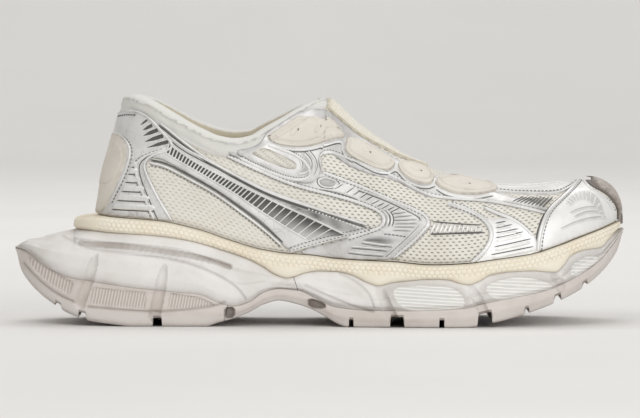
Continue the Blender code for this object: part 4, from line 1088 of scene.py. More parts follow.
def buildRim():
    turns = evenTurns(rimOutline, rimLook["stations"])[:, None]
    shares = np.linspace(0.0, 1.0, rimLook["rows"])
    outsets = curve(
        np.array([0.0, 0.05, 0.3, 0.7, 0.93, 1.0]), np.array([-12, -5, 6, 2, -12, -30]) / 10000, shares,
    )
    sides, gaps = [], []
    for side in (-1, 1):
        x, y = rimOutline.base(turns, side)
        run = np.concatenate([[0.0], np.cumsum(np.hypot(np.diff(x[:, 0]), np.diff(y[:, 0])))])[:, None]
        low, high = soleZ(foamLine, x) + soleLook["joint"], soleZ(featherLine, x)
        z = low + (high - low) * shares
        dome, covered = honeycomb(np.broadcast_to(run, z.shape), high - z, np.broadcast_to(x, z.shape))
        edgeX, edgeY = rimOutline.edge(turns, side, outsets + (dome - 0.4) * covered * rimLook["bump"])
        low, high = soleZ(foamLine, edgeX) + soleLook["joint"], soleZ(featherLine, edgeX)
        rows = np.stack([edgeX, edgeY, low + (high - low) * shares], -1)
        lipX, lipY = upperOutline.edge(upperOutline.turnAt(x), side, -shoe["wall"] - 0.0005)
        lipZ = soleZ(featherLine, lipX)
        depth = lineAt(footwellLine, lipX) * shoe["soleHeight"]
        lip = [np.stack([lipX, lipY, lipZ], -1), np.stack([lipX, lipY, lipZ - depth], -1)]
        sides.append(np.concatenate([rows] + lip, 1))
        gaps.append(np.concatenate([(1.0 - ease(dome, 0.05, 0.5)) * covered, np.zeros((len(turns), 2))], 1))
    outer, inner = sides
    rings = np.concatenate([outer, inner[:, ::-1], outer[:, :1]], 1)
    gap = np.concatenate([gaps[0], gaps[1][:, ::-1], gaps[0][:, :1]], 1)
    build = sheetFrom(rings, gap=gap)
    tidy(build)
    piece = finishPiece("rim_foam", build, [creamFoam], ["rim"])
    at, low = pointsOf(piece), maskOf(piece, "gap")
    x, z = at[:, 0], at[:, 2]
    # painted shade in the gaps between the cells, and painted shade with soiling along the joints below and
    # above
    foot = bell(z - soleZ(foamLine, x), 0.0009)
    top = bell(soleZ(featherLine, x) - z, 0.0008)
    paint(
        piece, low=low * (0.45 + 0.1 * ease(x, 0.12, 0.2)), grime=foot * 0.9 + top * 0.7,
        lower=ease(soleZ(featherLine, x) - z, 0.008, 0.011),
    )
    for name in ("ribbed", "lined", "panel", "framed"):
        paint(piece, **{name: np.zeros(len(at))})
    print("rim moulded")


insoleLook = {
    "stations": 150, "across": 25, "thick": 0.004, "gap": 0.0009, "round": 0.0012, "dent": 0.0007,
    "dentPitch": 0.021,
}


def buildInsole():
    turns = evenTurns(rimOutline, insoleLook["stations"])[:, None]
    x, _ = rimOutline.base(turns, 1)
    turns = upperOutline.turnAt(x)
    across = np.linspace(0.0, 1.0, insoleLook["across"])
    inset = -shoe["wall"] - 0.0005 - insoleLook["gap"]
    outerX, outerY = upperOutline.edge(turns, -1, inset)
    innerX, innerY = upperOutline.edge(turns, 1, inset)
    depth = lineAt(footwellLine, outerX) * shoe["soleHeight"]
    low = soleZ(featherLine, outerX) - depth + shoe["gap"]
    x = outerX + (innerX - outerX) * across
    y = outerY + (innerY - outerY) * across
    edge = np.minimum(across, 1 - across) * np.abs(innerY - outerY)
    drop = insoleLook["round"] * (1.0 - ease(edge, 0.0, 0.002))
    dent = insoleLook["dent"] * np.sin(x * 2 * math.pi / insoleLook["dentPitch"]) * ease(edge, 0.006, 0.016)
    top = low + insoleLook["thick"] - drop + dent * 0.35
    upper = np.stack([x, y, top], -1)
    lower = np.stack([x, y, np.broadcast_to(low, x.shape)], -1)
    build = sheetFrom(np.concatenate([upper, lower[:, ::-1], upper[:, :1]], 1))
    tidy(build)
    piece = finishPiece("insole_cloth", build, [insoleCloth], ["insole"])
    at = pointsOf(piece)
    paint(piece, grime=0.5 * bell(at[:, 0] - 0.08, 0.03) + 0.2)
    print("insole laid")


# Upper: the form, its creases, and the knit skin with its padded collar and lining.
upperLook = {
    "collarStations": 110,
    "vampStations": 130,
    "steps": 80,
    "rollSteps": 9,
    "liningSteps": 26,
    "rollRise": 0.62,
    "rollShare": 0.045,
    "bandDeep": 0.0078,
    "bandGroove": 0.00045,
}
creases = [  # soft troughs (+) and ridges (-) on the knit: two ends, half width and depth in millimetres
    ((79.2, 119.9), (85.8, 110.0), 2.6, 0.5), ((92.4, 113.3), (95.7, 102.3), 2.4, 0.4),
    ((104.0, 104.5), (102.9, 95.7), 2.6, -0.35),
    ((123.2, 100.7), (126.5, 93.5), 2.8, 0.4), ((135.3, 105.1), (140.8, 99.6), 2.4, 0.35),
    ((156.2, 117.7), (162.8, 110.0), 2.6, 0.3),
    ((87.5, 69.3), (118.8, 52.8), 6.0, 0.55), ((99.0, 78.1), (135.3, 55.0), 6.0, -0.35),
    ((206.8, 75.9), (222.2, 62.7), 4.0, 0.45),
    ((213.4, 45.1), (236.5, 38.5), 5.0, 0.4), ((232.1, 65.5), (245.3, 39.6), 4.2, 0.6),
    ((239.8, 69.3), (254.1, 45.1), 3.4, -0.4),
    ((264.0, 69.3), (277.2, 52.8), 4.0, 0.45), ((299.2, 67.1), (321.2, 59.4), 5.0, 0.5),
    ((46.2, 69.3), (68.2, 63.8), 5.0, 0.35),
    ((52.8, 94.6), (63.8, 74.8), 5.0, 0.35), ((176.0, 94.6), (189.2, 80.3), 4.0, 0.35),
]
ridgeFrom = upperLook["collarStations"]
collarTurn = np.pi * np.arange(ridgeFrom) / ridgeFrom
vampTurn = np.pi / 2 * np.linspace(0.0, 1.0, upperLook["vampStations"] + 1)
tops = np.concatenate([
    collarStart + (collarEnd - collarStart) * (1 - np.cos(collarTurn)) / 2,
    collarEnd + (toeEnd - collarEnd) * np.sin(vampTurn),
])
ups = np.linspace(0.0, 1.0, upperLook["steps"] + 1)


def paddingAt(top, t):
    share = (top - collarStart) / (collarEnd - collarStart)
    front = np.clip((top - collarEnd) / (toeEnd - collarEnd), 0.0, 1.0)
    station = np.where(top < collarEnd, 16 * turnOf(share) / math.pi, 16 + 30 / math.pi * np.arcsin(front))
    return np.clip((20 - station) / 6, 0.0, 1.0) * np.clip((t - 0.35) / 0.65, 0.0, 1.0) ** 1.2


def directions(points, side):
    along, up = np.gradient(points, axis=0), np.gradient(points, axis=1)
    found = np.cross(along, up) * -side
    size = np.linalg.norm(found, axis=-1, keepdims=True)
    return np.where(size > 1e-14, found / np.maximum(size, 1e-14), np.array([1.0, 0.0, 0.0]))


def shareSeams(normals):
    # one direction for both sides at the heel, along the ridge and at the toe
    outer, inner = normals[-1], normals[1]
    both = outer + inner
    both[0, :, 1] = 0.0
    for rows, steps in ((slice(0, 1), slice(None)), (slice(ridgeFrom, None), slice(-1, None))):
        shared = unit(both[rows, steps])
        outer[rows, steps] = shared
        inner[rows, steps] = shared
    outer[-1], inner[-1] = (1.0, 0.0, 0.0), (1.0, 0.0, 0.0)


forms = {side: section(tops, side, ups) for side in (-1, 1)}
formNormals = {side: directions(forms[side], side) for side in (-1, 1)}
shareSeams(formNormals)


def moved(side, distance, rows=slice(None), steps=slice(None)):
    # the form moved outwards: its lowest row stays on the rim
    points = forms[side][:, steps] + formNormals[side][:, steps] * distance[..., None]
    if steps == slice(None):
        level = unit(formNormals[side][:, 0, :2], 1e-9)
        points[:, 0, :2] = forms[side][:, 0, :2] + level * distance[:, :1]
        points[:, 0, 2] = soleZ(featherLine, points[:, 0, 0]) + shoe["seat"]
        tip = points[-1]
        tip[:, 0], tip[:, 1] = points[-1, 0, 0], points[-1, 0, 1]
        tip[:, 2] = points[-1, 0, 2]
    return points[rows]


def girths(points):
    # length from the sole up each section
    return np.concatenate(
        [np.zeros((len(points), 1)), np.cumsum(np.linalg.norm(np.diff(points, axis=1), axis=-1), 1)], 1,
    )


padding = paddingAt(tops[:, None], ups)
fromTop = {side: girths(forms[side])[:, -1:] - girths(forms[side]) for side in (-1, 1)}
collarShare = np.where(tops < collarEnd, 1.0, 1.0 - ease(tops, collarEnd, collarEnd + 0.03))[:, None]


def skinOffset(side):
    swell = np.sin(math.pi * np.clip((ups - 0.62) / 0.38, 0.0, 1.0) * 0.62)
    offset = shoe["swell"] * swell * padding
    x, z = forms[side][..., 0], forms[side][..., 2]
    for low, high, half, depth in creases:
        off, _ = reachOf(millimetres((low, high)), x, z)
        offset = offset - depth / 1000 * bell(off, half / 1000) * ease(fromTop[side], 0.0, 0.004)
    deep = fromTop[side] - upperLook["bandDeep"] * (1.0 + 0.25 * ease(x, 0.09, 0.13))
    offset = offset - upperLook["bandGroove"] * bell(deep, 0.0009) * collarShare
    offset = offset + 0.0005 * bell(deep + 0.0035, 0.0028) * collarShare
    fade = ease(ups, 0.0, 0.06) * np.ones_like(x)
    return offset * fade


skin = {side: moved(side, skinOffset(side)) for side in (-1, 1)}
for row in (slice(0, 1), slice(-1, None)):
    skin[-1][row, :, 1] = skin[1][row, :, 1] = (skin[-1][row, :, 1] + skin[1][row, :, 1]) / 2
seam = (skin[-1][ridgeFrom:, -1] + skin[1][ridgeFrom:, -1]) / 2
skin[-1][ridgeFrom:, -1], skin[1][ridgeFrom:, -1] = seam, seam
skin[-1][0], skin[1][0] = skin[1][0].copy(), skin[1][0].copy()


def easeCollarEnd(side):
    # the corner where the collar ends is rubbed out below the top edge
    near = np.where(np.abs(tops - collarEnd) * shoe["length"] < 0.030)[0]
    x, y = skin[side][near][..., 0], skin[side][near][..., 1]
    width = np.abs(np.gradient(x, axis=0)) + 1e-6
    weights = bell(x[:, None] - x[None], 0.0060) * width[None]
    smooth = (weights * y[None]).sum(1) / weights.sum(1)
    share = bell(x - x[:, -1:].mean(), 0.014) * ease(fromTop[side][near], 0.002, 0.010)
    skin[side][near, :, 1] = y + (smooth - y) * share


for side in (-1, 1):
    easeCollarEnd(side)
skinNormals = {side: directions(skin[side], side) for side in (-1, 1)}
shareSeams(skinNormals)


def buildUpper():
    build = bmesh.new()
    for side in (-1, 1):
        outer = skin[side].copy()
        x = outer[..., 0]
        climbed = girths(outer)
        top = climbed[:, -1:] - climbed
        # the skin stops short of the collar's edge, where the roll begins
        share = 1.0 - upperLook["rollShare"] * collarShare
        share[ridgeFrom:] = 1.0
        at = ups * share
        low = np.clip((at * upperLook["steps"]).astype(int), 0, upperLook["steps"] - 1)
        part = (at * upperLook["steps"] - low)[..., None]
        index = np.arange(len(tops))[:, None]
        outer = skin[side][index, low] * (1 - part) + skin[side][index, low + 1] * part
        band = (1.0 - ease(top, upperLook["bandDeep"], upperLook["bandDeep"] + 0.0006)) * collarShare
        # painted shade with soiling where the skin meets the rim, in the collar's groove and at the top edge,
        # and darker towards the heel
        grime = 0.55 * bell(climbed, 0.0022) + 0.5 * bell(top - upperLook["bandDeep"], 0.0008) * collarShare
        grime = grime + 0.18 * bell(top, 0.002) * collarShare
        grime = grime + 0.16 * (1.0 - ease(x, 0.04, 0.13))
        front = ease(x, 0.13, 0.19)
        marks = {
            "band": band, "grime": np.clip(grime, 0, 1), "openKnit": front, "clothU": x, "clothV": climbed,
        }
        sheetFrom(outer, build, 0, **marks)
        inside = moved(side, -shoe["wall"] - shoe["padding"] * padding)
        steps = np.linspace(0, upperLook["steps"], upperLook["liningSteps"] + 1).astype(int)
        inside = inside[:, steps]
        zero = {name: 0.0 for name in marks}
        # the lining is darker deeper inside the shoe: painted shade
        deep = girths(inside)[:, -1:] - girths(inside)
        lining = dict(zero, grime=0.25 * ease(deep, 0.02, 0.06))
        sheetFrom(inside, build, 1, **lining)
        rows = slice(0, ridgeFrom + 1)
        a, b = outer[rows, -1], inside[rows, -1]
        middle, across = (a + b) / 2, (a - b) / 2
        rise = outer[rows, -1] - outer[rows, -3]
        lean = np.sum(rise * across, -1) / np.maximum(np.sum(across * across, -1), 1e-12)
        rise = rise - across * lean[:, None]
        rise = unit(rise, 1e-9)
        reach = np.linalg.norm(across, axis=-1, keepdims=True) * upperLook["rollRise"]
        turn = np.linspace(0.0, math.pi, upperLook["rollSteps"])
        roll = np.stack([middle + across * math.cos(t) + rise * reach * math.sin(t) for t in turn], 1)
        sheetFrom(roll, build, 0, **dict(zero, band=1.0, grime=0.08))
        sheetFrom(np.stack([outer[:, 0], inside[:, 0]], 1), build, 1, **zero)
    bmesh.ops.remove_doubles(build, verts=build.verts, dist=2e-5)
    bmesh.ops.dissolve_degenerate(build, dist=1e-5, edges=build.edges)
    bmesh.ops.recalc_face_normals(build, faces=build.faces)
    piece = finishPiece("knit_upper", build, [knit, liningCloth], ["upper"], 60)
    layCloth(piece)
    print("upper lasted")


# Overlays are cut flat, as a pattern maker would, and then lasted: laid on the skin with their thickness
# outwards.
skinTrees = {}
for side in (-1, 1):
    flat = skin[side][..., (0, 2)].reshape(-1, 2)
    skinTrees[side] = KDTree(len(flat))
    for k, (x, z) in enumerate(flat):
        skinTrees[side].insert((x, z, 0.0), k)
    skinTrees[side].balance()
lastStation, lastStep = len(tops) - 1, upperLook["steps"]
edgeRun = runOf(skin[-1][:, -1])
heelRow = int(0.35 * lastStep)
heelRun = runOf(skin[-1][:, heelRow])
climbs = {side: girths(skin[side]) for side in (-1, 1)}
stepAt = {
    side: np.stack([np.interp(ups * climb[-1], climb, np.arange(lastStep + 1.0)) for climb in climbs[side]])
    for side in (-1, 1)
}


def sample(grid, i, j):
    i, j = np.clip(i, 0, grid.shape[0] - 1.0001), np.clip(j, 0, grid.shape[1] - 1.0001)
    a, b = i.astype(int), j.astype(int)
    u, v = i - a, j - b
    if grid.ndim > 2:
        u, v = u[..., None], v[..., None]
    near = grid[a, b] * (1 - u) + grid[a + 1, b] * u
    far = grid[a, b + 1] * (1 - u) + grid[a + 1, b + 1] * u
    return near * (1 - v) + far * v


def findOnSkin(side, x, z):
    # station and step of the skin's place that the side view shows at x, z
    seeds = np.array([skinTrees[side].find((a, b, 0.0))[1] for a, b in zip(x, z)])
    i, j = (seeds // (lastStep + 1)).astype(float), (seeds % (lastStep + 1)).astype(float)
    for _ in range(4):
        here = sample(skin[side], i, j)
        alongI = sample(skin[side], i + 0.5, j) - sample(skin[side], i - 0.5, j)
        alongJ = sample(skin[side], i, j + 0.5) - sample(skin[side], i, j - 0.5)
        offX, offZ = x - here[:, 0], z - here[:, 2]
        scale = alongI[:, 0] * alongJ[:, 2] - alongI[:, 2] * alongJ[:, 0]
        scale = np.where(np.abs(scale) < 2e-8, 2e-8 * np.where(scale < 0, -1, 1), scale)
        i = np.clip(i + np.clip((offX * alongJ[:, 2] - offZ * alongJ[:, 0]) / scale, -1, 1), 0, lastStation)
        j = np.clip(j + np.clip((offZ * alongI[:, 0] - offX * alongI[:, 2]) / scale, -1, 1), 0, lastStep)
    return i, j


def onTop(points):
    # side-view millimetres to lengths: along the top edge and down from it, negative on the outer side
    points = millimetres(points)
    i, j = findOnSkin(-1, points[:, 0], points[:, 1])
    run = np.interp(i, np.arange(lastStation + 1.0), edgeRun)
    down = sample(climbs[-1][:, -1:] - climbs[-1], i, j)
    return np.stack([run, -down], 1)


def traced(points, closed=True):
    # a line of the side view with its corners softened, as lengths along the top and down
    return onTop(evenly(rounded(points, 2, closed), 1.0, closed))


def onHeel(points):
    # side-view millimetres to lengths: round the heel and up from the sole
    points = millimetres(points)
    i, j = findOnSkin(-1, points[:, 0], points[:, 1])
    run = np.interp(i, np.arange(lastStation + 1.0), heelRun)
    return np.stack([-run, sample(climbs[-1], i, j)], 1)


def heelLine(points):
    return rounded(onHeel(points), 2, False)


def overHeel(half):
    # half an outline and its mirror image across the heel's middle line
    return np.concatenate([half, (half * (-1, 1))[::-1][1:-1]])


def mirrored(points):
    # a pattern's half and its mirror image, as one closed outline
    return np.concatenate([points, points[::-1] * (1, -1)])


def lay(kind, side, flat):
    # flat pattern points (along, up, height) on the skin
    along, up, height = flat.T
    if kind == "side":
        i, j = findOnSkin(side, along, up)
        sides = np.full(len(flat), side)
    else:
        run = edgeRun if kind == "top" else heelRun
        mark = up if kind == "top" else along
        sides = np.where(mark < 0, -1, 1) * (-1 if side == 1 else 1)
        i = np.interp(np.abs(along), run, np.arange(lastStation + 1.0))
        j = np.zeros(len(flat))
        for one in (-1, 1):
            girth = np.interp(i, np.arange(lastStation + 1.0), climbs[one][:, -1])
            share = 1.0 - np.abs(up) / girth if kind == "top" else up / girth
            j = np.where(sides == one, sample(stepAt[one], i, np.clip(share, 0, 1) * lastStep), j)
    laid = np.zeros((len(flat), 3))
    for one in (-1, 1):
        here = sides == one
        if here.any():
            normal = unit(sample(skinNormals[one], i[here], j[here]))
            laid[here] = sample(skin[one], i[here], j[here]) + normal * height[here, None]
    return laid


def shapeAt(at, base, turn, sizes):
    # a unit form stretched, turned and put in its flat place
    placed = Matrix.Translation((at[0], at[1], base))
    return placed @ Matrix.Rotation(turn, 4, "Z") @ Matrix.Diagonal((*sizes, 1))


def giveFinish(made, finish):
    for corner in made["verts"]:
        for face in corner.link_faces:
            face.material_index = finish


filmThick = 0.0008
# the third slot holds dark seams and stitches, and also painted shadow lines
filmSlot, beadSlot, darkAndShadowSlot, threadSlot, meshSlot = range(5)


class Pattern:
    # the flat parts of one overlay
    def __init__(self):
        self.build = bmesh.new()

    def add(self, build, finish=0, marks=None):
        mesh = bpy.data.meshes.new("part")
        build.to_mesh(mesh)
        build.free()
        flat = np.empty(len(mesh.vertices) * 3)
        mesh.vertices.foreach_get("co", flat)
        for name, values in (marks(*flat.reshape(-1, 3).T) if marks else {}).items():
            setMask(mesh, name, values)
        mesh.polygons.foreach_set("material_index", np.full(len(mesh.polygons), finish))
        self.build.from_mesh(mesh)
        bpy.data.meshes.remove(mesh)

    def patch(
        self, outline, thick, base=0.0, finish=0, pitch=0.0018, edge=0.0005, grime=0.8, reach=0.0012,
        low=None,
    ):
        outline = evenly(outline, 0.0011)
        build = bmesh.new()
        under = build.faces.new([build.verts.new((x, y, base - 0.0003)) for x, y in outline])
        made = bmesh.ops.extrude_face_region(build, geom=[under], use_keep_orig=True)
        top = [item for item in made["geom"] if isinstance(item, bmesh.types.BMFace)][0]
        for corner in top.verts:
            corner.co.z = base
        for share, rise in ((0.3, 0.65), (0.7, 1.0)):
            bmesh.ops.inset_individual(build, faces=[top], thickness=edge * share, use_even_offset=True)
            for corner in top.verts:
                corner.co.z = base + thick * rise
        least, high = outline.min(0), outline.max(0)
        for axis in (0, 1):
            normal = (1.0 - axis, float(axis), 0.0)
            for at in np.arange(least[axis] + pitch * 0.61, high[axis], pitch):
                geom = list(build.verts) + list(build.edges) + list(build.faces)
                bmesh.ops.bisect_plane(build, geom=geom, plane_co=(at, at, 0.0), plane_no=normal, dist=1e-7)

        def marks(x, y, z):
            inside = reachInside(outline, x, y)
            dark = low(x, y) if low else np.zeros(len(x))
            patchy = 0.75 + 0.25 * np.sin(x * 900 + y * 1300)
            # the outline's inner edge is darkened: painted shade where the overlay meets the skin, with
            # soiling; low carries painted shade given by the caller
            return {"grime": grime * bell(inside, reach) * patchy, "low": dark}

        self.add(build, finish, marks)

    def bar(self, line, width, height, base=0.0, finish=0, pitch=0.0011, grime=0.0, low=0.0, taper=True):
        line = evenly(line, pitch, False)
        along = unit(np.gradient(line, axis=0))
        across = np.stack([-along[:, 1], along[:, 0]], 1)
        full = np.ones(len(line))
        if taper:
            full[[0, -1]] = 0.03
            full[[1, -2]] = np.minimum(full[[1, -2]], 0.8)
        wide = np.interp(
            np.linspace(0, 1, len(line)), np.linspace(0, 1, np.size(width)), np.atleast_1d(width),
        )
        offs = np.array([-0.5, -0.5, -0.3, 0.0, 0.3, 0.5, 0.5, -0.5])
        rises = np.array([-0.25, 0.3, 0.85, 1.0, 0.85, 0.3, -0.25, -0.25])
        flat = line[:, None] + across[:, None] * (offs * (wide * full)[:, None])[..., None]
        up = base + height * rises * full[:, None]
        # the bar's long edges are darkened: painted shade with soiling
        edge = np.broadcast_to(np.where(np.abs(offs) > 0.4, 1.0, 0.0), up.shape)
        self.build = sheetFrom(
            np.concatenate([flat, up[..., None]], -1), self.build, finish, grime=edge * grime,
            low=np.full(up.shape, low),
        )

    def dot(self, at, wide, tall, height, base=0.0, finish=0, turn=0.0):
        shape = shapeAt(at, base, turn, (wide / 2, tall / 2, height))
        made = bmesh.ops.create_uvsphere(self.build, u_segments=10, v_segments=6, radius=1.0, matrix=shape)
        giveFinish(made, finish)

    def stitches(
        self, line, gap=0.0021, length=0.0012, width=0.00045, height=0.00022, base=0.0, finish=beadSlot,
    ):
        line = evenly(line, gap, False)
        along = np.gradient(line, axis=0)
        for at, way in zip(line[1:-1], along[1:-1]):
            shape = shapeAt(at, base, math.atan2(way[1], way[0]), (length, width, height * 2))
            giveFinish(bmesh.ops.create_cube(self.build, size=1.0, matrix=shape), finish)

    def last(self, name, kind, side, finishes, nodes=(), slot=None, angle=50):
        build = self.build.copy()
        mesh = bpy.data.meshes.new("flat")
        build.to_mesh(mesh)
        flat = np.empty(len(mesh.vertices) * 3)
        mesh.vertices.foreach_get("co", flat)
        flat = flat.reshape(-1, 3)
        mesh.vertices.foreach_set("co", lay(kind, side, flat).ravel())
        setMask(mesh, "clothU", np.ascontiguousarray(flat[:, 0]))
        setMask(mesh, "clothV", np.ascontiguousarray(flat[:, 1]))
        build.clear()
        build.from_mesh(mesh)
        bpy.data.meshes.remove(mesh)
        bmesh.ops.remove_doubles(build, verts=build.verts, dist=1e-7)
        bmesh.ops.recalc_face_normals(build, faces=build.faces)
        piece = finishPiece(name, build, finishes, nodes, angle)
        layCloth(piece)
        return piece


def bothSides(pattern, name, kind, finishes, node, slot):
    for side, label in ((-1, "outer"), (1, "inner")):
        pattern.last(f"{name}_{label}", kind, side, finishes, [f"{node}_{label}"], slot)


counterLook = {
    "edge": [
        (57.2, 115.2), (62.7, 116.1), (68.2, 116.1), (73.2, 113.6), (78.1, 108.9), (83.1, 103.4),
        (88.0, 97.6), (83.6, 94.6), (77.0, 92.7), (72.9, 90.2), (71.5, 86.9), (72.6, 82.5), (76.5, 74.2),
        (80.9, 66.0), (86.9, 56.7), (86.9, 54.5), (73.7, 53.9), (45.1, 55.0),
    ],
    "ribs": [
        ((64.4, 85.8), (68.2, 85.8)), ((62.7, 82.0), (68.5, 82.0)), ((61.1, 77.6), (69.9, 77.3)),
        ((59.1, 72.6), (72.3, 72.3)), ((56.7, 67.7), (74.8, 67.1)), ((53.9, 62.7), (77.8, 61.9)),
    ],
    "slots": [
        ((69.9, 108.6), (73.4, 111.4), 1.2), ((71.2, 105.9), (76.2, 108.6), 1.9),
        ((71.5, 102.9), (79.2, 106.2), 2.3), ((72.3, 99.6), (82.2, 103.1), 2.3),
        ((73.7, 96.5), (85.0, 99.8), 1.9),
    ],
    "innerLine": [
        (86.4, 96.0), (78.7, 93.5), (73.2, 91.3), (69.9, 88.6), (68.8, 84.7), (70.4, 78.1), (73.7, 70.4),
        (76.5, 63.3), (79.2, 55.6),
    ],
    "tab": [(56.7, 112.8), (59.4, 113.6), (62.7, 114.1), (68.2, 113.9)],
    "patch": [
        (52.8, 104.0), (56.7, 104.0), (60.5, 101.2), (62.7, 96.8), (62.7, 91.9), (61.3, 86.4), (58.9, 80.3),
        (55.6, 73.2), (51.7, 64.9), (47.9, 53.9), (45.1, 52.8),
    ],
    "inset": [
        (51.7, 100.1), (55.6, 99.6), (58.9, 96.8), (60.2, 93.0), (59.4, 87.5), (56.9, 81.4), (53.4, 76.5),
        (49.5, 75.9),
    ],
}


def buildHeel():
    outline = onHeel(counterLook["edge"])
    outline[0, 0] = outline[-1, 0] = 0.0
    outline[:, 1] = np.maximum(outline[:, 1], 0.0004)
    whole = overHeel(rounded(outline, 2, False))
    pattern = Pattern()
    pattern.patch(whole, filmThick, pitch=0.0016, reach=0.0016, grime=0.7)
    for mirror in (1, -1):
        turn = (mirror, 1)
        edge = heelLine(counterLook["edge"][1:15]) * turn
        pattern.stitches(
            heelLine(counterLook["tab"]) * turn, 0.0022, 0.0013, 0.0006, 0.0002, 0.0009, darkAndShadowSlot,
        )
        pattern.bar(edge, 0.0016, 0.0007, 0.0006, filmSlot, grime=0.9)
        line = heelLine(counterLook["innerLine"]) * turn
        pattern.bar(line, 0.0006, 0.0002, filmThick, darkAndShadowSlot)
        pattern.bar(line + (0.0022 * mirror, 0.0), 0.0015, 0.0005, 0.0007, beadSlot, grime=0.6)
        pattern.stitches(line + (0.0035 * mirror, 0.0), base=0.0009, finish=threadSlot)
        for a, b in counterLook["ribs"]:
            ends = onHeel([a, b]) * turn
            pattern.bar(ends + (0.0, 0.0018), 0.0034, 0.0008, 0.0006, beadSlot, grime=0.1)
            # a dark bar just under each rib: a painted shadow line
            pattern.bar(ends - (0.0, 0.0002), 0.0007, 0.00015, filmThick, darkAndShadowSlot)
        for a, b, wide in counterLook["slots"]:
            ends = onHeel([a, b]) * turn
            pattern.bar(ends, (0.0003, wide / 1000, wide / 900), 0.00012, filmThick, darkAndShadowSlot, taper=False)
            pattern.bar(ends + (0.0, 0.0016), 0.0008, 0.0006, 0.0007, beadSlot, grime=0.3)
        border = heelLine(counterLook["patch"][:-2]) * turn
        pattern.bar(border + (-0.0014 * mirror, 0.0), 0.0013, 0.0006, 0.0007, beadSlot, grime=0.7)
        pattern.stitches(border + (-0.0030 * mirror, 0.0), base=0.0009, finish=threadSlot)
    pattern.last(
        "heel_counter_film", "heel", 0, [silver, paleSilver, darkFilmAndShadow, threadGrey], ["heel_counter"],
        "silver_film",
    )
    outline = onHeel(counterLook["patch"])
    outline[0, 0] = outline[-1, 0] = 0.0
    outline[:, 1] = np.maximum(outline[:, 1], 0.0006)
    half = rounded(outline, 2, False)
    pattern = Pattern()
    pattern.patch(overHeel(half), 0.0010, 0.0004, edge=0.0012, reach=0.0016, grime=0.75)
    inner = heelLine(counterLook["inset"])
    inner[0, 0] = inner[-1, 0] = 0.0
    pattern.patch(overHeel(inner), 0.0004, 0.0013, edge=0.0010, reach=0.0012, grime=0.35)
    pattern.last("heel_patch_moulding", "heel", 0, [beigeRubber], ["heel_patch"], "moulded_beige")
    print("heel lasted")


stripeLook = {
    "edge": [
        (79.2, 108.9), (85.2, 104.2), (93.0, 97.9), (107.8, 87.5), (124.9, 77.6), (141.9, 69.3),
        (167.2, 61.3), (183.7, 56.1), (196.9, 52.0), (181.0, 47.9), (162.8, 44.0), (149.6, 39.9),
        (143.0, 49.5), (135.3, 56.7), (124.9, 64.1), (112.2, 72.6), (99.6, 80.3), (88.0, 86.9), (81.4, 90.2),
        (74.8, 91.0), (78.1, 94.6),
    ],
    "upperRail": [
        (85.8, 98.2), (93.2, 93.0), (100.7, 88.1), (113.3, 81.5), (127.1, 74.5), (140.8, 68.0),
        (150.7, 63.5), (165.0, 57.2), (181.0, 49.5),
    ],
    "lowerRail": [
        (82.5, 94.3), (89.1, 90.2), (99.0, 84.4), (110.0, 78.1), (122.1, 71.0), (132.0, 64.1), (141.9, 57.8),
        (151.8, 51.7), (160.6, 46.8),
    ],
    "topLines": [
        (
            [
                (79.2, 108.9), (85.2, 104.2), (93.0, 97.9), (107.8, 87.5), (124.9, 77.6), (141.9, 69.3),
                (167.2, 61.3), (192.5, 53.4),
            ],
            0.8,
        ),
        (
            [
                (85.8, 100.7), (92.4, 95.2), (104.0, 89.1), (123.2, 79.2), (139.7, 71.0), (156.2, 65.5),
                (172.7, 59.4),
            ],
            0.6,
        ),
    ],
    "lowLines": [
        (
            [
                (74.8, 89.9), (83.6, 88.3), (94.6, 82.5), (107.8, 75.4), (116.6, 69.6), (124.9, 63.5),
                (133.1, 57.5), (140.8, 51.2), (147.4, 45.1),
            ],
            0.9,
        )
    ],
    "shade": [
        (127.6, 76.5), (141.9, 69.6), (156.2, 64.9), (178.2, 58.3), (193.6, 52.0), (181.5, 49.2),
        (166.1, 56.7), (151.8, 63.3), (140.8, 68.8),
    ],
    "tip": [(149.1, 39.9), (162.8, 44.3), (179.3, 48.4), (195.8, 52.0)],
    "rungFeet": [
        (83.6, 177.1), (96.8, 177.1), (110.0, 177.1), (123.2, 177.1), (136.4, 177.1), (149.6, 177.1),
        (162.8, 177.1),
    ],
    "rungHeads": [
        (85.2, 177.1), (99.0, 177.1), (113.3, 177.1), (127.6, 177.1), (142.5, 177.1), (157.9, 177.1),
        (173.8, 177.1),
    ],
    "rungCounts": (0, 20, 27, 33, 37),
    "rungPlaces": (0.0, 2.5, 3.52, 4.9, 6.0),
    "fadeFrom": millimetres([(156.2, 67.1)])[0, 0],
    "fadeTo": millimetres([(192.5, 52.8)])[0, 0],
    "spark": [(159.5, 63.8), (168.3, 60.8), (178.2, 57.2), (189.2, 53.1)],
}


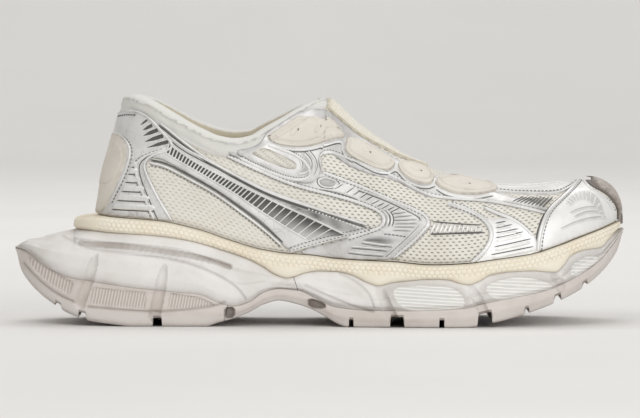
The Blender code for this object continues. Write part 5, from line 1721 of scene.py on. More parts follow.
def ladder(pattern, upper, lower, feet, heads):
    # rails with rungs between them over a sunk strip painted dark as shade
    upper, lower = softLine(upper), softLine(lower)
    upper, lower = evenly(upper, 0.0008, False), evenly(lower, 0.0008, False)

    def fade(x, y):
        # painted shade in the sunk windows, lighter from below towards the front
        above, below = np.interp(x, upper[:, 0], upper[:, 1]), np.interp(x, lower[:, 0], lower[:, 1])
        deep = np.clip((above - y) / np.maximum(above - below, 0.001), 0.0, 1.0)
        return 1.0 - 0.75 * ease(x, 0.126, 0.165) * ease(deep, 0.15, 0.95)

    pattern.patch(
        np.concatenate([upper, lower[::-1]]), 0.00015, 0.00085, filmSlot, edge=0.0003, grime=0.2, low=fade,
    )
    pattern.bar(upper, 0.0010, 0.0006, filmThick, beadSlot, grime=0.2)
    pattern.bar(lower, 0.0010, 0.0006, filmThick, beadSlot, grime=0.2)
    for k in range(stripeLook["rungCounts"][-1] + 1):
        at = float(curve(np.array(stripeLook["rungCounts"], float), np.array(stripeLook["rungPlaces"]), k))
        wide = 0.00095 - 0.00036 * at / (len(feet) - 1)
        foot, head = (np.interp(at, np.arange(len(feet)), millimetres(ends)[:, 0]) for ends in (feet, heads))
        a = np.array([head, np.interp(head, upper[:, 0], upper[:, 1])])
        b = np.array([foot, np.interp(foot, lower[:, 0], lower[:, 1])])
        pattern.bar(
            np.stack([a, (a + b) / 2, b]), wide, 0.0005, filmThick, beadSlot, pitch=0.0016, taper=False,
        )


def buildStripe():
    pattern = Pattern()
    edge = softArea(stripeLook["edge"])

    def shade(x, y):
        deep = ease(reachInside(softArea(stripeLook["shade"]), x, y), -0.0006, 0.0018)
        lit = 1.0 - 0.55 * ease(x, stripeLook["fadeFrom"], stripeLook["fadeTo"])
        return deep * lit * (0.85 + 0.15 * np.sin(x * 700 + y * 300))

    pattern.patch(edge, filmThick, pitch=0.0014, reach=0.0012, grime=0.75, low=shade)
    ladder(
        pattern, stripeLook["upperRail"], stripeLook["lowerRail"], stripeLook["rungFeet"],
        stripeLook["rungHeads"],
    )
    for line, wide in stripeLook["topLines"]:
        line = softLine(line)
        pattern.bar(line, wide / 1000, 0.0002, filmThick, darkAndShadowSlot)
        pattern.bar(line + (0.0006, 0.0014), 0.0013, 0.0006, 0.0006, beadSlot, grime=0.6)
    for line, wide in stripeLook["lowLines"]:
        line = softLine(line)
        pattern.bar(line, wide / 1000, 0.0002, filmThick, darkAndShadowSlot)
        pattern.bar(line - (0.0008, 0.0016), 0.0014, 0.0006, 0.0005, beadSlot, grime=0.6)
        pattern.stitches(line - (0.0010, 0.0030), base=0.0002, finish=threadSlot)
    pattern.stitches(softLine(stripeLook["spark"]), 0.0020, 0.0009, 0.0007, 0.0002, 0.0009, beadSlot)
    tip = softLine(stripeLook["tip"])
    pattern.bar(tip, 0.0020, 0.0008, 0.0005, beadSlot, grime=0.8)
    pattern.stitches(tip + (0.0, 0.0002), base=0.0014, finish=threadSlot)
    pattern.stitches(tip + (0.0004, 0.0022), base=0.0009, finish=threadSlot)
    bothSides(
        pattern, "side_stripe_film", "side", [silver, paleSilver, darkFilmAndShadow, threadGrey], "side_stripe",
        "silver_film",
    )
    print("stripes lasted")


panelLook = {
    "edge": [
        (115.5, 94.6), (121.0, 94.3), (127.6, 89.1), (139.7, 83.6), (156.2, 77.0), (163.9, 77.6),
        (165.6, 82.2), (169.4, 84.2), (178.8, 80.3), (189.8, 75.9), (207.4, 67.9), (217.3, 64.4),
        (224.4, 61.1), (227.4, 57.2), (227.2, 53.9), (219.5, 45.7), (212.3, 39.6), (206.3, 36.0),
        (178.2, 36.3), (151.2, 39.6), (172.7, 45.1), (195.8, 51.2), (202.4, 54.5), (203.0, 57.8),
        (199.1, 62.2), (183.7, 67.1), (167.2, 72.3), (145.8, 78.7), (129.2, 86.6),
    ],
    "band": [
        (116.6, 92.4), (129.2, 86.4), (145.8, 78.9), (159.0, 74.6), (172.7, 71.4), (187.0, 67.4),
        (199.1, 62.7), (202.4, 58.3), (200.5, 53.6), (194.7, 51.7), (181.5, 47.3),
    ],
    "upper": [
        (168.3, 83.3), (178.8, 79.4), (193.3, 73.7), (207.4, 67.3), (217.3, 63.5), (223.9, 60.2),
        (226.1, 56.9), (225.5, 54.5), (217.8, 46.1), (206.8, 37.1),
    ],
    "inner": [
        (187.0, 73.4), (193.3, 71.2), (201.2, 68.2), (208.1, 65.2), (215.4, 61.6), (220.0, 59.4),
        (221.9, 57.2), (220.6, 54.5), (215.6, 49.5), (202.4, 37.4),
    ],
    "low": [(166.7, 73.7), (173.8, 72.7), (181.0, 70.6), (188.1, 68.1)],
    "capsule": [
        (166.1, 78.7), (167.5, 80.0), (171.6, 80.1), (177.7, 77.4), (174.9, 74.8), (169.4, 75.0),
        (166.7, 76.5),
    ],
    "bars": [
        ((178.8, 76.8), (173.8, 73.9), 0.9), ((185.0, 75.1), (180.1, 71.7), 0.8),
        ((188.7, 73.8), (184.0, 70.4), 0.6), ((192.5, 72.2), (187.6, 69.0), 0.8),
        ((195.5, 70.4), (190.6, 67.7), 0.5), ((198.7, 68.2), (193.6, 65.7), 0.8),
        ((201.3, 66.7), (196.8, 64.4), 0.5), ((204.1, 65.9), (199.2, 63.3), 0.7),
        ((206.8, 64.7), (201.9, 62.2), 0.5), ((209.6, 64.1), (203.5, 61.3), 0.6),
    ],
    "lines": [
        ((205.7, 61.4), (214.0, 62.4)), ((206.6, 59.7), (217.3, 60.7)), ((206.8, 58.0), (219.5, 58.5)),
        ((207.0, 56.3), (220.0, 56.4)), ((206.8, 54.7), (218.9, 54.6)), ((206.3, 52.8), (216.7, 52.6)),
    ],
    "ridges": [
        [(200.5, 63.0), (203.8, 60.5), (204.5, 57.2), (203.2, 53.6)],
        [(202.4, 63.5), (205.7, 60.5), (206.4, 57.2), (205.2, 53.6)],
    ],
    "seam": [(200.8, 50.2), (207.9, 49.5), (215.1, 48.5)],
    "lowFan": [(189.2, 46.1), (193.3, 48.7), (207.9, 48.6), (211.8, 47.3), (206.3, 44.0), (198.0, 44.6)],
    "lowSteps": [
        [(189.2, 46.0), (198.0, 44.7), (206.8, 44.0)], [(183.7, 43.5), (190.9, 42.9), (204.1, 41.8)],
        [(182.1, 40.7), (191.4, 39.6), (201.9, 39.1)],
    ],
    "lowShade": [(190.9, 44.2), (204.6, 43.0), (201.3, 40.4), (183.7, 42.7)],
}


def piping(pattern, line, wide, height=0.0008, base=0.0004):
    # a light raised bead with its rows of stitches
    line = softLine(line)
    pattern.bar(line, wide, height, base, beadSlot, grime=0.75)
    pattern.stitches(line, 0.0021, 0.0012, 0.0008, 0.0003, base + height * 0.98)
    for off in (-0.5, 0.5):
        pattern.stitches(
            line + (0.0, wide * off), 0.0021, 0.0010, 0.0004, 0.0002, base + height * 0.5, threadSlot,
        )


def buildPanel():
    pattern = Pattern()
    fadeTo = millimetres([(213.4, 47.9)])[0, 0]

    def shade(x, y):
        fan = ease(reachInside(softArea(panelLook["lowFan"]), x, y), -0.0004, 0.0014)
        under = ease(reachInside(softArea(panelLook["lowShade"]), x, y), -0.0004, 0.0014)
        return np.maximum(fan * (1.0 - ease(x, fadeTo - 0.016, fadeTo)), 0.6 * under)

    def halfTone(x, y):
        return np.full(len(x), 0.35)

    pattern.patch(softArea(panelLook["edge"]), filmThick, pitch=0.0014, reach=0.0011, grime=0.7, low=shade)
    piping(pattern, panelLook["band"], 0.0022)
    piping(pattern, panelLook["upper"], 0.0021)
    capsule = softArea(panelLook["capsule"])
    middle = capsule.mean(0)
    field = middle + (capsule - middle) * 0.86
    pattern.patch(field, 0.0003, 0.0007, filmSlot, edge=0.0005, grime=0.7, low=halfTone)
    pattern.bar(
        np.concatenate([capsule, capsule[:2]]), 0.0009, 0.0006, filmThick, beadSlot, grime=0.3, taper=False,
    )
    pattern.bar(
        middle + (np.concatenate([capsule, capsule[:2]]) - middle) * 1.16, 0.0005, 0.0002, filmThick,
        darkAndShadowSlot, taper=False,
    )
    # the dark bars beside the beads below are painted shadow lines
    for a, b, wide in panelLook["bars"]:
        line = millimetres([a, b])
        pattern.bar(line, wide / 1000, 0.0005, filmThick, beadSlot, grime=0.2)
        pattern.bar(line + (0.0011, 0.0), 0.0005, 0.0001, filmThick, darkAndShadowSlot)
    for line in panelLook["lines"]:
        line = millimetres(line)
        pattern.bar(line, 0.0008, 0.0004, filmThick, beadSlot, grime=0.3)
        pattern.bar(line - (0.0, 0.0009), 0.0003, 0.0001, 0.0009, darkAndShadowSlot)
    for line in panelLook["ridges"]:
        line = softLine(line)
        pattern.bar(line, 0.0013, 0.0008, 0.0007, beadSlot, grime=0.5)
        pattern.bar(line + (0.0010, 0.0), 0.0005, 0.0001, 0.0009, darkAndShadowSlot)
    for key in ("inner", "low"):
        line = softLine(panelLook[key])
        pattern.bar(line, 0.0005, 0.0002, filmThick, darkAndShadowSlot)
        pattern.bar(line + (0.0004, 0.0008), 0.0007, 0.0004, filmThick, beadSlot, grime=0.2)
    pattern.stitches(softLine(panelLook["seam"]), 0.0021, 0.0014, 0.0005, 0.0002, 0.0009, darkAndShadowSlot)
    for line in panelLook["lowSteps"]:
        line = softLine(line)
        pattern.bar(line, 0.0009, 0.0006, filmThick, beadSlot, grime=0.3)
        pattern.bar(line - (0.0, 0.0010), 0.0004, 0.0001, 0.0009, darkAndShadowSlot)
    bothSides(
        pattern, "side_panel_film", "side", [greySilver, paleSilver, darkFilmAndShadow, threadGrey], "side_panel",
        "silver_film",
    )
    print("panels lasted")


sweepLook = {
    "edge": [
        (236.0, 67.7), (245.3, 65.5), (253.0, 61.6), (258.5, 57.8), (264.6, 58.9), (270.6, 58.3),
        (277.8, 54.5), (283.2, 50.1), (284.9, 45.1), (283.8, 37.4), (266.2, 33.6), (247.5, 33.0),
        (253.0, 39.1), (257.4, 44.6), (259.1, 50.6), (256.3, 55.8), (248.6, 60.5), (236.5, 64.4),
    ],
    "piping": [
        (237.1, 66.0), (247.5, 62.7), (256.3, 57.8), (260.2, 51.7), (259.1, 45.7), (254.7, 39.6),
        (248.1, 34.1),
    ],
    "rim": [(255.8, 64.1), (262.4, 61.1), (270.6, 58.3), (277.8, 53.9), (282.7, 48.4)],
    "stripes": [
        ((261.8, 55.6), (267.9, 56.7)), ((261.8, 53.1), (271.2, 55.0)), ((261.8, 50.6), (274.5, 52.8)),
        ((261.5, 47.9), (277.2, 51.2)), ((260.7, 43.2), (281.6, 47.6)), ((259.1, 39.1), (282.7, 43.5)),
        ((257.4, 35.8), (283.2, 39.6)),
    ],
    "chevrons": ((227.7, 56.9), (254.1, 55.0), (226.6, 50.1), (255.8, 51.2), 12),
}


def buildSweep():
    pattern = Pattern()
    pattern.patch(softArea(sweepLook["edge"]), filmThick, pitch=0.0016, reach=0.0012, grime=0.6)
    piping(pattern, sweepLook["piping"], 0.0026, 0.0010)
    line = softLine(sweepLook["rim"])
    pattern.bar(line, 0.0016, 0.0006, 0.0006, beadSlot, grime=0.5)
    pattern.bar(line + (0.0, 0.0012), 0.0005, 0.0003, 0.0002, darkAndShadowSlot)
    for a, b in sweepLook["stripes"]:
        line = millimetres([a, b])
        pattern.bar(line, 0.0006, 0.00015, filmThick, darkAndShadowSlot)
        pattern.bar(line - (0.0, 0.0017), 0.0024, 0.0005, 0.0005, beadSlot, grime=0.35)
    a, b, c, d, count = sweepLook["chevrons"]
    a, b, c, d = millimetres([a, b, c, d])
    for k in range(count):
        share = (k + 0.5) / count
        top, bottom = a + (b - a) * share, c + (d - c) * share
        pattern.bar(
            np.stack([bottom - (0.0012, 0.0), top + (0.0012, 0.0)]), 0.0014, 0.0005, 0.0001, beadSlot,
            grime=0.5,
        )
    pattern.bar(np.stack([a, (a + b) / 2 - (0.0, 0.0002), b]), 0.0006, 0.0003, 0.0002, darkAndShadowSlot)
    pattern.bar(np.stack([c, (c + d) / 2, d]), 0.0009, 0.0003, 0.0002, darkAndShadowSlot)
    bothSides(
        pattern, "forefoot_panel_film", "side", [brightSilver, paleSilver, darkFilmAndShadow, threadGrey],
        "forefoot_panel", "silver_film",
    )
    print("forefoot panels lasted")


eyestayLook = {
    "web": [
        (135.3, 99.0), (140.8, 110.6), (154.0, 116.1), (168.3, 118.8), (181.0, 108.9), (195.8, 97.9),
        (211.2, 88.0), (227.7, 80.3), (249.7, 74.8), (266.2, 71.0), (291.5, 64.4), (290.4, 61.6),
        (266.2, 66.6), (249.7, 67.7), (233.2, 68.8), (224.4, 69.9), (215.1, 74.8), (206.8, 79.2),
        (195.8, 81.4), (184.8, 85.2), (177.1, 90.2), (172.7, 93.8), (168.0, 93.5), (166.4, 90.2),
        (167.2, 85.8), (168.9, 83.6), (165.0, 77.6), (158.4, 76.5), (148.5, 80.3), (135.3, 85.8),
        (123.2, 91.9), (121.0, 95.2), (128.7, 96.3),
    ],
    "island": [
        (128.7, 94.1), (136.7, 97.1), (144.7, 93.3), (151.8, 89.9), (154.8, 87.5), (154.3, 84.7),
        (149.6, 84.7), (140.2, 88.2), (133.1, 91.5),
    ],
    "lines": [
        [
            (123.2, 91.3), (135.3, 85.2), (148.5, 80.0), (157.9, 78.7), (162.2, 81.4), (161.2, 86.4),
            (156.2, 91.3), (147.4, 95.2), (138.6, 98.2),
        ],
        [
            (166.1, 79.2), (168.3, 84.7), (166.7, 90.2), (167.8, 93.5), (172.5, 94.3), (178.2, 92.1),
            (185.9, 89.1), (196.9, 85.0), (206.8, 80.9), (215.6, 75.9), (224.4, 71.0), (236.5, 68.8),
            (255.2, 67.7), (272.8, 64.9), (289.3, 61.1),
        ],
    ],
    "frames": [
        [
            (139.2, 99.0), (143.6, 97.1), (149.6, 95.7), (155.7, 95.0), (162.2, 95.5), (170.0, 97.7),
            (176.6, 99.6), (179.3, 99.0), (178.8, 95.7), (180.4, 91.6), (185.4, 88.8),
        ],
        [(183.7, 90.5), (190.9, 86.4), (198.0, 82.8), (204.6, 82.0), (208.5, 84.4), (210.7, 80.9)],
        [(209.6, 83.1), (213.4, 78.1), (218.9, 75.4), (225.5, 74.2), (229.9, 75.6)],
        [(229.9, 74.2), (233.8, 71.5), (241.5, 69.0), (251.9, 68.6), (261.8, 70.1)],
    ],
    "arcs": [
        [(157.9, 93.5), (161.7, 90.2), (162.8, 85.8), (160.1, 82.8), (155.1, 82.0)],
        [(160.6, 94.6), (164.5, 90.2), (165.6, 85.2), (163.4, 80.9)],
        [(155.7, 89.7), (157.6, 87.5), (157.0, 84.4)],
    ],
    "shadedArea": [
        (156.2, 94.6), (161.2, 93.5), (163.9, 89.1), (163.4, 83.1), (159.0, 80.3), (151.8, 82.0),
        (157.9, 84.7), (159.5, 88.6),
    ],
    "hatch": ((277.2, 69.3), (294.8, 68.8), (270.6, 66.8), (288.8, 63.3), 9),
    "stripHalf": (0.0132, 0.0127, 0.0107, 0.0062),
    "stripFrom": 0.513,
    "stripTo": 0.677,
}
podLook = {
    "shapes": [
        [
            (138.1, 102.3), (138.9, 105.6), (142.1, 108.4), (148.0, 111.7), (154.8, 113.7), (162.2, 113.2),
            (167.6, 111.8), (174.0, 108.4), (179.0, 105.1), (180.8, 101.5), (178.4, 101.1), (174.5, 100.8),
            (169.6, 99.0), (162.2, 96.8), (155.8, 96.3), (149.9, 97.0), (144.1, 98.3), (140.0, 100.0),
        ],
        [
            (181.0, 100.9), (182.1, 101.6), (184.3, 101.5), (189.2, 99.6), (195.3, 96.8), (203.5, 91.3),
            (207.6, 88.3), (208.2, 86.4), (206.3, 84.2), (203.0, 83.3), (196.9, 84.4), (190.9, 87.3),
            (185.4, 90.2), (181.5, 93.0), (180.1, 95.7), (181.2, 99.0),
        ],
        [
            (209.0, 87.5), (211.2, 88.3), (216.7, 87.7), (224.4, 85.2), (228.8, 81.4), (229.4, 78.7),
            (227.7, 76.2), (224.4, 75.9), (218.9, 77.0), (212.9, 80.3), (209.6, 84.2),
        ],
        [
            (229.4, 77.8), (232.1, 79.2), (238.7, 79.8), (250.8, 78.7), (260.7, 75.9), (264.6, 74.0),
            (264.6, 72.6), (260.2, 71.2), (251.4, 70.1), (240.9, 70.7), (233.8, 73.2), (229.9, 75.9),
        ],
    ],
    "dots": [[(152.4, 104.7), (165.6, 105.9)], [(191.4, 94.3)], [(218.9, 83.1)], [(245.3, 75.6)]],
}


def runAtShare(share):
    # length along the top edge at a share of the shoe's length
    return np.interp(share * shoe["length"], tops * shoe["length"], edgeRun)


def buildEyestay():
    pattern = Pattern()
    web = traced(eyestayLook["web"])
    start, end = runAtShare(eyestayLook["stripFrom"]), runAtShare(eyestayLook["stripTo"])
    half = np.interp(web[:, 0], np.linspace(start, end, 4), eyestayLook["stripHalf"])
    half = np.where(web[:, 0] < start - 0.001, 0.0016, half)
    web[:, 1] = np.minimum(web[:, 1], -half - 0.0004)
    shadedArea = traced(eyestayLook["shadedArea"])

    def shade(x, y):
        # painted shade over the area inside the arcs
        return 0.45 * ease(reachInside(shadedArea, x, y), -0.0008, 0.0016)

    pattern.patch(web, filmThick, pitch=0.0016, reach=0.0013, grime=0.75, low=shade)
    pattern.patch(
        traced(eyestayLook["island"]), 0.0002, 0.0008, meshSlot, edge=0.0004, grime=0.9, reach=0.001,
    )
    for line in eyestayLook["lines"]:
        line = traced(line, False)
        pattern.bar(line, 0.0019, 0.0007, 0.0005, beadSlot, grime=0.7)
        pattern.stitches(line, 0.0023, 0.0012, 0.0007, 0.0003, 0.0012, beadSlot)
        pattern.stitches(line + (0.0, 0.0010), 0.0023, 0.0010, 0.0004, 0.0002, 0.0009, threadSlot)
    for line in eyestayLook["frames"]:
        line = traced(line, False)
        pattern.bar(line, 0.0014, 0.0007, 0.0006, beadSlot, grime=0.4)
        # a dark bar under each frame: a painted shadow line
        pattern.bar(line - (0.0, 0.0012), 0.0005, 0.0001, 0.0009, darkAndShadowSlot)
    for line in eyestayLook["arcs"]:
        line = traced(line, False)
        pattern.bar(line, 0.0013, 0.0008, 0.0006, beadSlot, grime=0.6)
        pattern.bar(line + (0.0009, 0.0), 0.0004, 0.0001, 0.0009, darkAndShadowSlot)
    a, b, c, d, count = eyestayLook["hatch"]
    a, b, c, d = onTop([a, b, c, d])
    for k in range(count):
        share = (k + 0.5) / count
        pattern.bar(
            np.stack([c + (d - c) * share, a + (b - a) * share]), 0.0010, 0.00015, filmThick, darkAndShadowSlot,
        )
    bothSides(
        pattern, "eyestay_film", "top", [greySilver, paleSilver, darkFilmAndShadow, threadGrey, knit], "eyestay",
        "silver_film",
    )
    for number, (shape, dots) in enumerate(zip(podLook["shapes"], podLook["dots"]), 1):
        pattern = Pattern()
        outline = traced(shape)
        half = np.interp(outline[:, 0], np.linspace(start, end, 4), eyestayLook["stripHalf"])
        half = np.where(outline[:, 0] < start - 0.001, 0.0024, half)
        outline[:, 1] = np.minimum(outline[:, 1], -half - 0.0022)
        pattern.patch(outline, 0.0012, 0.0007, edge=0.0012, pitch=0.0014, reach=0.0012, grime=0.8)
        middle = outline.mean(0)
        inner = middle + (outline - middle) * (0.84, 0.76) + (0.0, 0.0006)
        pattern.patch(inner, 0.0005, 0.0018, edge=0.0012, pitch=0.0014, reach=0.0010, grime=0.30)
        ring = middle + (outline - middle) * (0.92, 0.88)
        pattern.bar(np.concatenate([ring, ring[:2]]), 0.0009, 0.0003, 0.0018, filmSlot, taper=False)
        for dot in onTop(dots):
            pattern.dot(dot, 0.0060, 0.0046, 0.0008, 0.0021)
            pattern.dot(dot + (0.0032, -0.0003), 0.0011, 0.0014, 0.0003, 0.0023, beadSlot)
        bothSides(
            pattern, f"eyestay_pod_{number}_moulding", "top", [beigeRubber, threadGrey],
            f"eyestay_pod_{number}", "moulded_beige",
        )
    print("eyestays lasted")


toeLook = {
    "bandLow": [(260.7, 72.3), (271.7, 71.2), (285.5, 70.6), (297.0, 70.7), (302.5, 72.9), (307.5, 76.2)],
    "capBack": [
        (309.7, 77.6), (306.9, 75.9), (302.5, 72.2), (297.0, 67.9), (292.6, 64.6), (288.8, 60.0),
        (286.3, 53.9), (284.7, 47.9), (283.5, 36.3),
    ],
    "capFront": [
        (313.5, 77.6), (316.0, 73.3), (320.1, 70.2), (324.2, 66.6), (327.1, 62.7), (328.8, 58.9),
        (330.0, 53.9),
    ],
    "bumperBack": [
        (316.0, 78.1), (319.0, 73.9), (323.1, 71.6), (327.2, 68.2), (330.0, 64.1), (331.7, 60.1),
        (332.5, 54.7),
    ],
    "foot": 0.0024,
    "stripLap": 0.0015,
    "fan": ((313.1, 58.0), 0.0092, 0.0178, 0.0142, 160, 40, 12),
    "domes": [
        [(302.5, 60.0), (308.0, 62.4), (314.1, 63.4), (319.0, 62.7)],
        [(304.7, 57.8), (310.2, 60.3), (315.7, 61.1), (319.6, 60.0)],
        [(297.0, 51.7), (305.8, 55.6), (316.8, 57.8), (323.4, 57.2)],
    ],
}


def buildToe():
    pattern = Pattern()
    low = traced(toeLook["bandLow"], False)
    low[0, 0], low[-1, 0] = onTop([(259.6, 75.9)])[0, 0], onTop([(308.6, 77.3)])[0, 0]
    low[-1, 1] = min(low[-1, 1], -0.0006)
    pattern.patch(mirrored(low), filmThick, edge=0.0005, grime=0.6)
    for side in (1, -1):
        line = low[1:-1] * (1, side)
        pattern.bar(line + (0.0, 0.0012 * side), 0.0014, 0.0005, 0.0007, filmSlot, grime=0.6)
        pattern.bar(line + (0.0, 0.0023 * side), 0.0005, 0.00015, filmThick, darkAndShadowSlot)
        pattern.stitches(line + (0.0, 0.0034 * side), base=0.0009, finish=threadSlot)
    for share in (0.3, 0.6):
        pattern.bar(
            np.stack([low[2] * (1, share), low[len(low) // 2] * (1, share), low[-3] * (1, share)]), 0.0006,
            0.00015, filmThick, beadSlot,
        )
    pattern.last(
        "vamp_band_film", "top", 0, [paleSilver, silver, darkFilmAndShadow, threadGrey], ["vamp_band"], "silver_film",
    )

    pattern = Pattern()
    back = traced(toeLook["capBack"], False)
    front = traced(toeLook["capFront"], False)
    back[0, 1] = front[0, 1] = -0.0002
    tipRun = edgeRun[-1] - 0.0006

    def lowest(run):
        return np.interp(run, edgeRun, climbs[-1][:, -1])

    lower = np.linspace(back[-1, 0], tipRun - 0.001, 24)
    lower = np.stack([lower, 0.0003 - lowest(lower)], 1)
    lower = lower[lower[:, 0] < front[-1, 0]]
    half = np.concatenate([back, lower, front[::-1]])
    centre, inner, top, flank, first, last, count = toeLook["fan"]
    centre = onTop([centre])[0]

    def shade(x, y):
        # grey windows between the fan's ribs
        offX, offY = x - centre[0], np.abs(y) + centre[1]
        reach, turn = np.hypot(offX, offY), np.degrees(np.arctan2(-offY, offX))
        outer = flank + (top - flank) * bell(turn - 88, 34)
        inside = ease(reach, inner, inner + 0.001) * (1.0 - ease(reach, outer - 0.0012, outer))
        return 0.36 * inside * ease(turn, last, last + 8) * (1.0 - ease(turn, first - 6, first))

    pattern.patch(mirrored(half), filmThick, pitch=0.0011, reach=0.0014, grime=0.5, low=shade)
    for side in (1, -1):
        turned = (1, side)
        pattern.bar(back * turned + (0.0009, 0.0), 0.0022, 0.0009, 0.0005, beadSlot, grime=0.3)
        pattern.bar(back * turned - (0.0006, 0.0), 0.0009, 0.0004, 0.0001, darkAndShadowSlot)
        pattern.stitches(back * turned + (0.0028, 0.0), 0.0021, 0.0014, base=0.0009, finish=threadSlot)
        pattern.bar(front * turned - (0.0014, 0.0), 0.0020, 0.0007, 0.0006, beadSlot, grime=0.3)
        for k in range(count):
            turn = math.radians(first + (last - first) * k / (count - 1))
            outer = flank + (top - flank) * math.exp(-(((math.degrees(turn) - 88) / 34) ** 2))
            way = np.array([math.cos(turn), math.sin(turn)])
            line = np.stack(
                [centre + way * inner, centre + way * (inner + outer) / 2, centre + way * outer]
            ) * turned
            pattern.bar(line, (0.0006, 0.0009, 0.0010), 0.0006, 0.0007, beadSlot, grime=0.15)
        for line in toeLook["domes"]:
            line = traced(line, False) * turned
            pattern.bar(line, 0.0009, 0.0003, 0.0007, beadSlot, grime=0.5)
            # a half-dark bar beside each dome: painted shade
            pattern.bar(line - (0.0, 0.0009 * -side), 0.0005, 0.0001, filmThick, filmSlot, low=0.5)
    pattern.last(
        "toe_cap_film", "top", 0, [brightSilver, paleSilver, darkFilmAndShadow, threadGrey], ["toe_cap"],
        "silver_film",
    )

    # bumper, with a rough dark band of painted shadow along its back edge
    pattern = Pattern()
    edge = traced(toeLook["bumperBack"], False)
    edge[0, 1] = -0.0002
    edge = np.concatenate([edge, [[tipRun - 0.0003, -lowest(tipRun) * 0.7]]])
    edge[-2:, 1] = np.maximum(edge[-2:, 1], 0.0004 - lowest(edge[-2:, 0]))
    pattern.patch(mirrored(edge), 0.0031, pitch=0.0012, edge=0.0014, reach=0.0010, grime=0.9)
    for side in (1, -1):
        # a band of painted shadow along the bumper's back edge
        pattern.bar(edge[:-1] * (1, side) - (0.0013, 0.0), 0.0030, 0.0005, 0.0006, filmSlot, low=1.0)
    piece = pattern.last("toe_bumper_rubber", "top", 0, [bumperRubber], ["toe_bumper"], "bumper_rubber")
    for corner in piece.data.vertices:
        # the bumper's foot reaches down to the rim
        share = ease(corner.co.x, 0.158, 0.162) * (1.0 - ease(corner.co.z, 0.0555, 0.0615))
        corner.co.z -= toeLook["foot"] * float(share)

    pattern = Pattern()
    start, end = runAtShare(
        eyestayLook["stripFrom"] - toeLook["stripLap"]
    ), runAtShare(eyestayLook["stripTo"])
    runs = np.linspace(start, end, 40)
    halves = np.interp(runs, np.linspace(start, end, 4), eyestayLook["stripHalf"]) - 0.0002
    edge = np.stack([runs, -halves], 1)
    whole = mirrored(edge)
    pattern.patch(whole, 0.0011, 0.0004, pitch=0.0013, edge=0.0009, reach=0.0016, grime=0.8)
    for side in (1, -1):
        pattern.bar((edge[1:-1] + (0.0, 0.0012)) * (1, side), 0.0013, 0.0005, 0.0013, filmSlot, grime=0.6)
    pattern.last("stretch_strip_knit", "top", 0, [stretchKnit], ["stretch_strip"], "stretch_knit")
    print("toe and strip lasted")


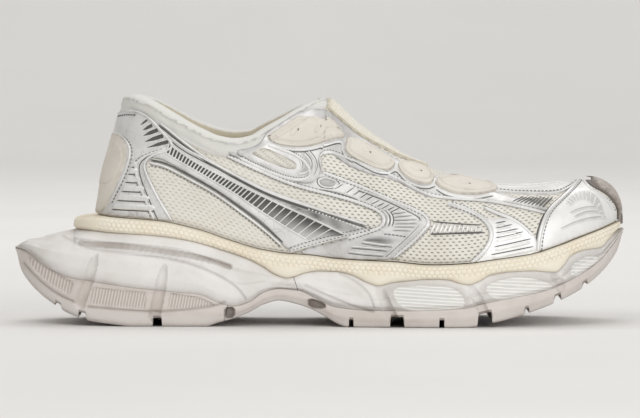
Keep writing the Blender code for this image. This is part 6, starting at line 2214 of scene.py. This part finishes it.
def buildStage():
    turns = np.radians(np.linspace(0.0, 90.0, 25))
    depths = np.concatenate([[-6.0, -2.0, 0.0, 2.0], sweep["start"] + sweep["radius"] * np.sin(turns)])
    rises = np.concatenate([np.zeros(4), sweep["radius"] * (1.0 - np.cos(turns))])
    depths, rises = np.append(depths, depths[-1]), np.append(rises, sweep["top"])
    wide = np.linspace(-1.0, 1.0, 9) * sweep["half"]
    rows = np.stack([
        np.broadcast_to(wide, (len(depths), 9)),
        np.broadcast_to(depths[:, None], (len(depths), 9)),
        np.broadcast_to(rises[:, None], (len(depths), 9)),
    ], -1)
    build = bmesh.new()
    corners = [[build.verts.new(point) for point in row] for row in rows]
    for near, far in zip(corners, corners[1:]):
        for k in range(8):
            build.faces.new((near[k], near[k + 1], far[k + 1], far[k]))
    mesh = bpy.data.meshes.new("studio_floor")
    build.to_mesh(mesh)
    build.free()
    mesh.shade_smooth()
    floor = bpy.data.objects.new("studio_floor", mesh)
    bpy.context.scene.collection.objects.link(floor)
    made, wire, feed = newFinish("paleFloor", Specular_IOR_Level=0.25)
    tone = wire.noise(3.0, 3.0).step(0.2, 0.8)
    feed(Base_Color=tone.blend((0.80, 0.79, 0.775), (0.83, 0.82, 0.805)), Roughness=0.6 + tone * 0.1)
    floor.data.materials.append(made)
    world = bpy.data.worlds.new("studio")
    world.use_nodes = True
    world.node_tree.nodes["Background"].inputs[0].default_value = (1.0, 0.99, 0.975, 1.0)
    world.node_tree.nodes["Background"].inputs[1].default_value = light["sky"]
    bpy.context.scene.world = world
    for name, spot in light["boxes"].items():
        lamp = bpy.data.lights.new(name, "AREA")
        lamp.energy, lamp.size, lamp.color = spot["power"], spot["size"], spot["tint"]
        made = bpy.data.objects.new(name, lamp)
        made.location = spot["at"]
        made.rotation_euler = (Vector(spot["to"]) - Vector(spot["at"])).to_track_quat("-Z", "Y").to_euler()
        bpy.context.scene.collection.objects.link(made)
    bpy.context.scene.view_settings.view_transform = "Standard"
    print("stage lit")


sweep = {"start": 3.0, "radius": 1.5, "top": 2.5, "half": 5.0}
light = {
    "sky": 0.40,
    "boxes": {
        "key": {
            "at": (-0.7, -1.3, 1.6), "to": (0.0, 0.0, 0.05), "power": 11.0, "size": 1.3,
            "tint": (1.0, 0.985, 0.96),
        },
        "front": {
            "at": (1.0, -1.7, 0.8), "to": (0.03, 0.0, 0.05), "power": 18.0, "size": 1.3,
            "tint": (1.0, 1.0, 1.0),
        },
        "top": {
            "at": (0.1, 0.6, 1.5), "to": (0.0, 0.0, 0.05), "power": 4.5, "size": 1.2,
            "tint": (1.0, 0.99, 0.97),
        },
        "wash": {
            "at": (0.0, 1.6, 2.6), "to": (0.0, 3.8, 0.2), "power": 45.0, "size": 3.0,
            "tint": (1.0, 0.99, 0.98),
        },
    },
}
lens = {
    "distance": 2.4, "elevation": 2.2, "turn": 0.0, "focal": 245.0, "sensor": 36.0, "reach": 30.0,
    "aimX": -0.0004, "aimZ": 0.062,
}


def buildCamera():
    view = bpy.data.cameras.new("photo_camera")
    view.lens, view.sensor_width, view.clip_end = lens["focal"], lens["sensor"], lens["reach"]
    made = bpy.data.objects.new("photo_camera", view)
    up, turn = math.radians(lens["elevation"]), math.radians(lens["turn"])
    aim = Vector((lens["aimX"], 0.0, lens["aimZ"]))
    back = Vector((math.sin(turn) * math.cos(up), -math.cos(turn) * math.cos(up), math.sin(up)))
    made.location = aim + back * lens["distance"]
    made.rotation_euler = (-back).to_track_quat("-Z", "Y").to_euler()
    bpy.context.scene.collection.objects.link(made)
    bpy.context.scene.camera = made


buildSole()
buildRim()
buildInsole()
buildUpper()
buildHeel()
buildStripe()
buildPanel()
buildSweep()
buildEyestay()
buildToe()
buildStage()
buildCamera()
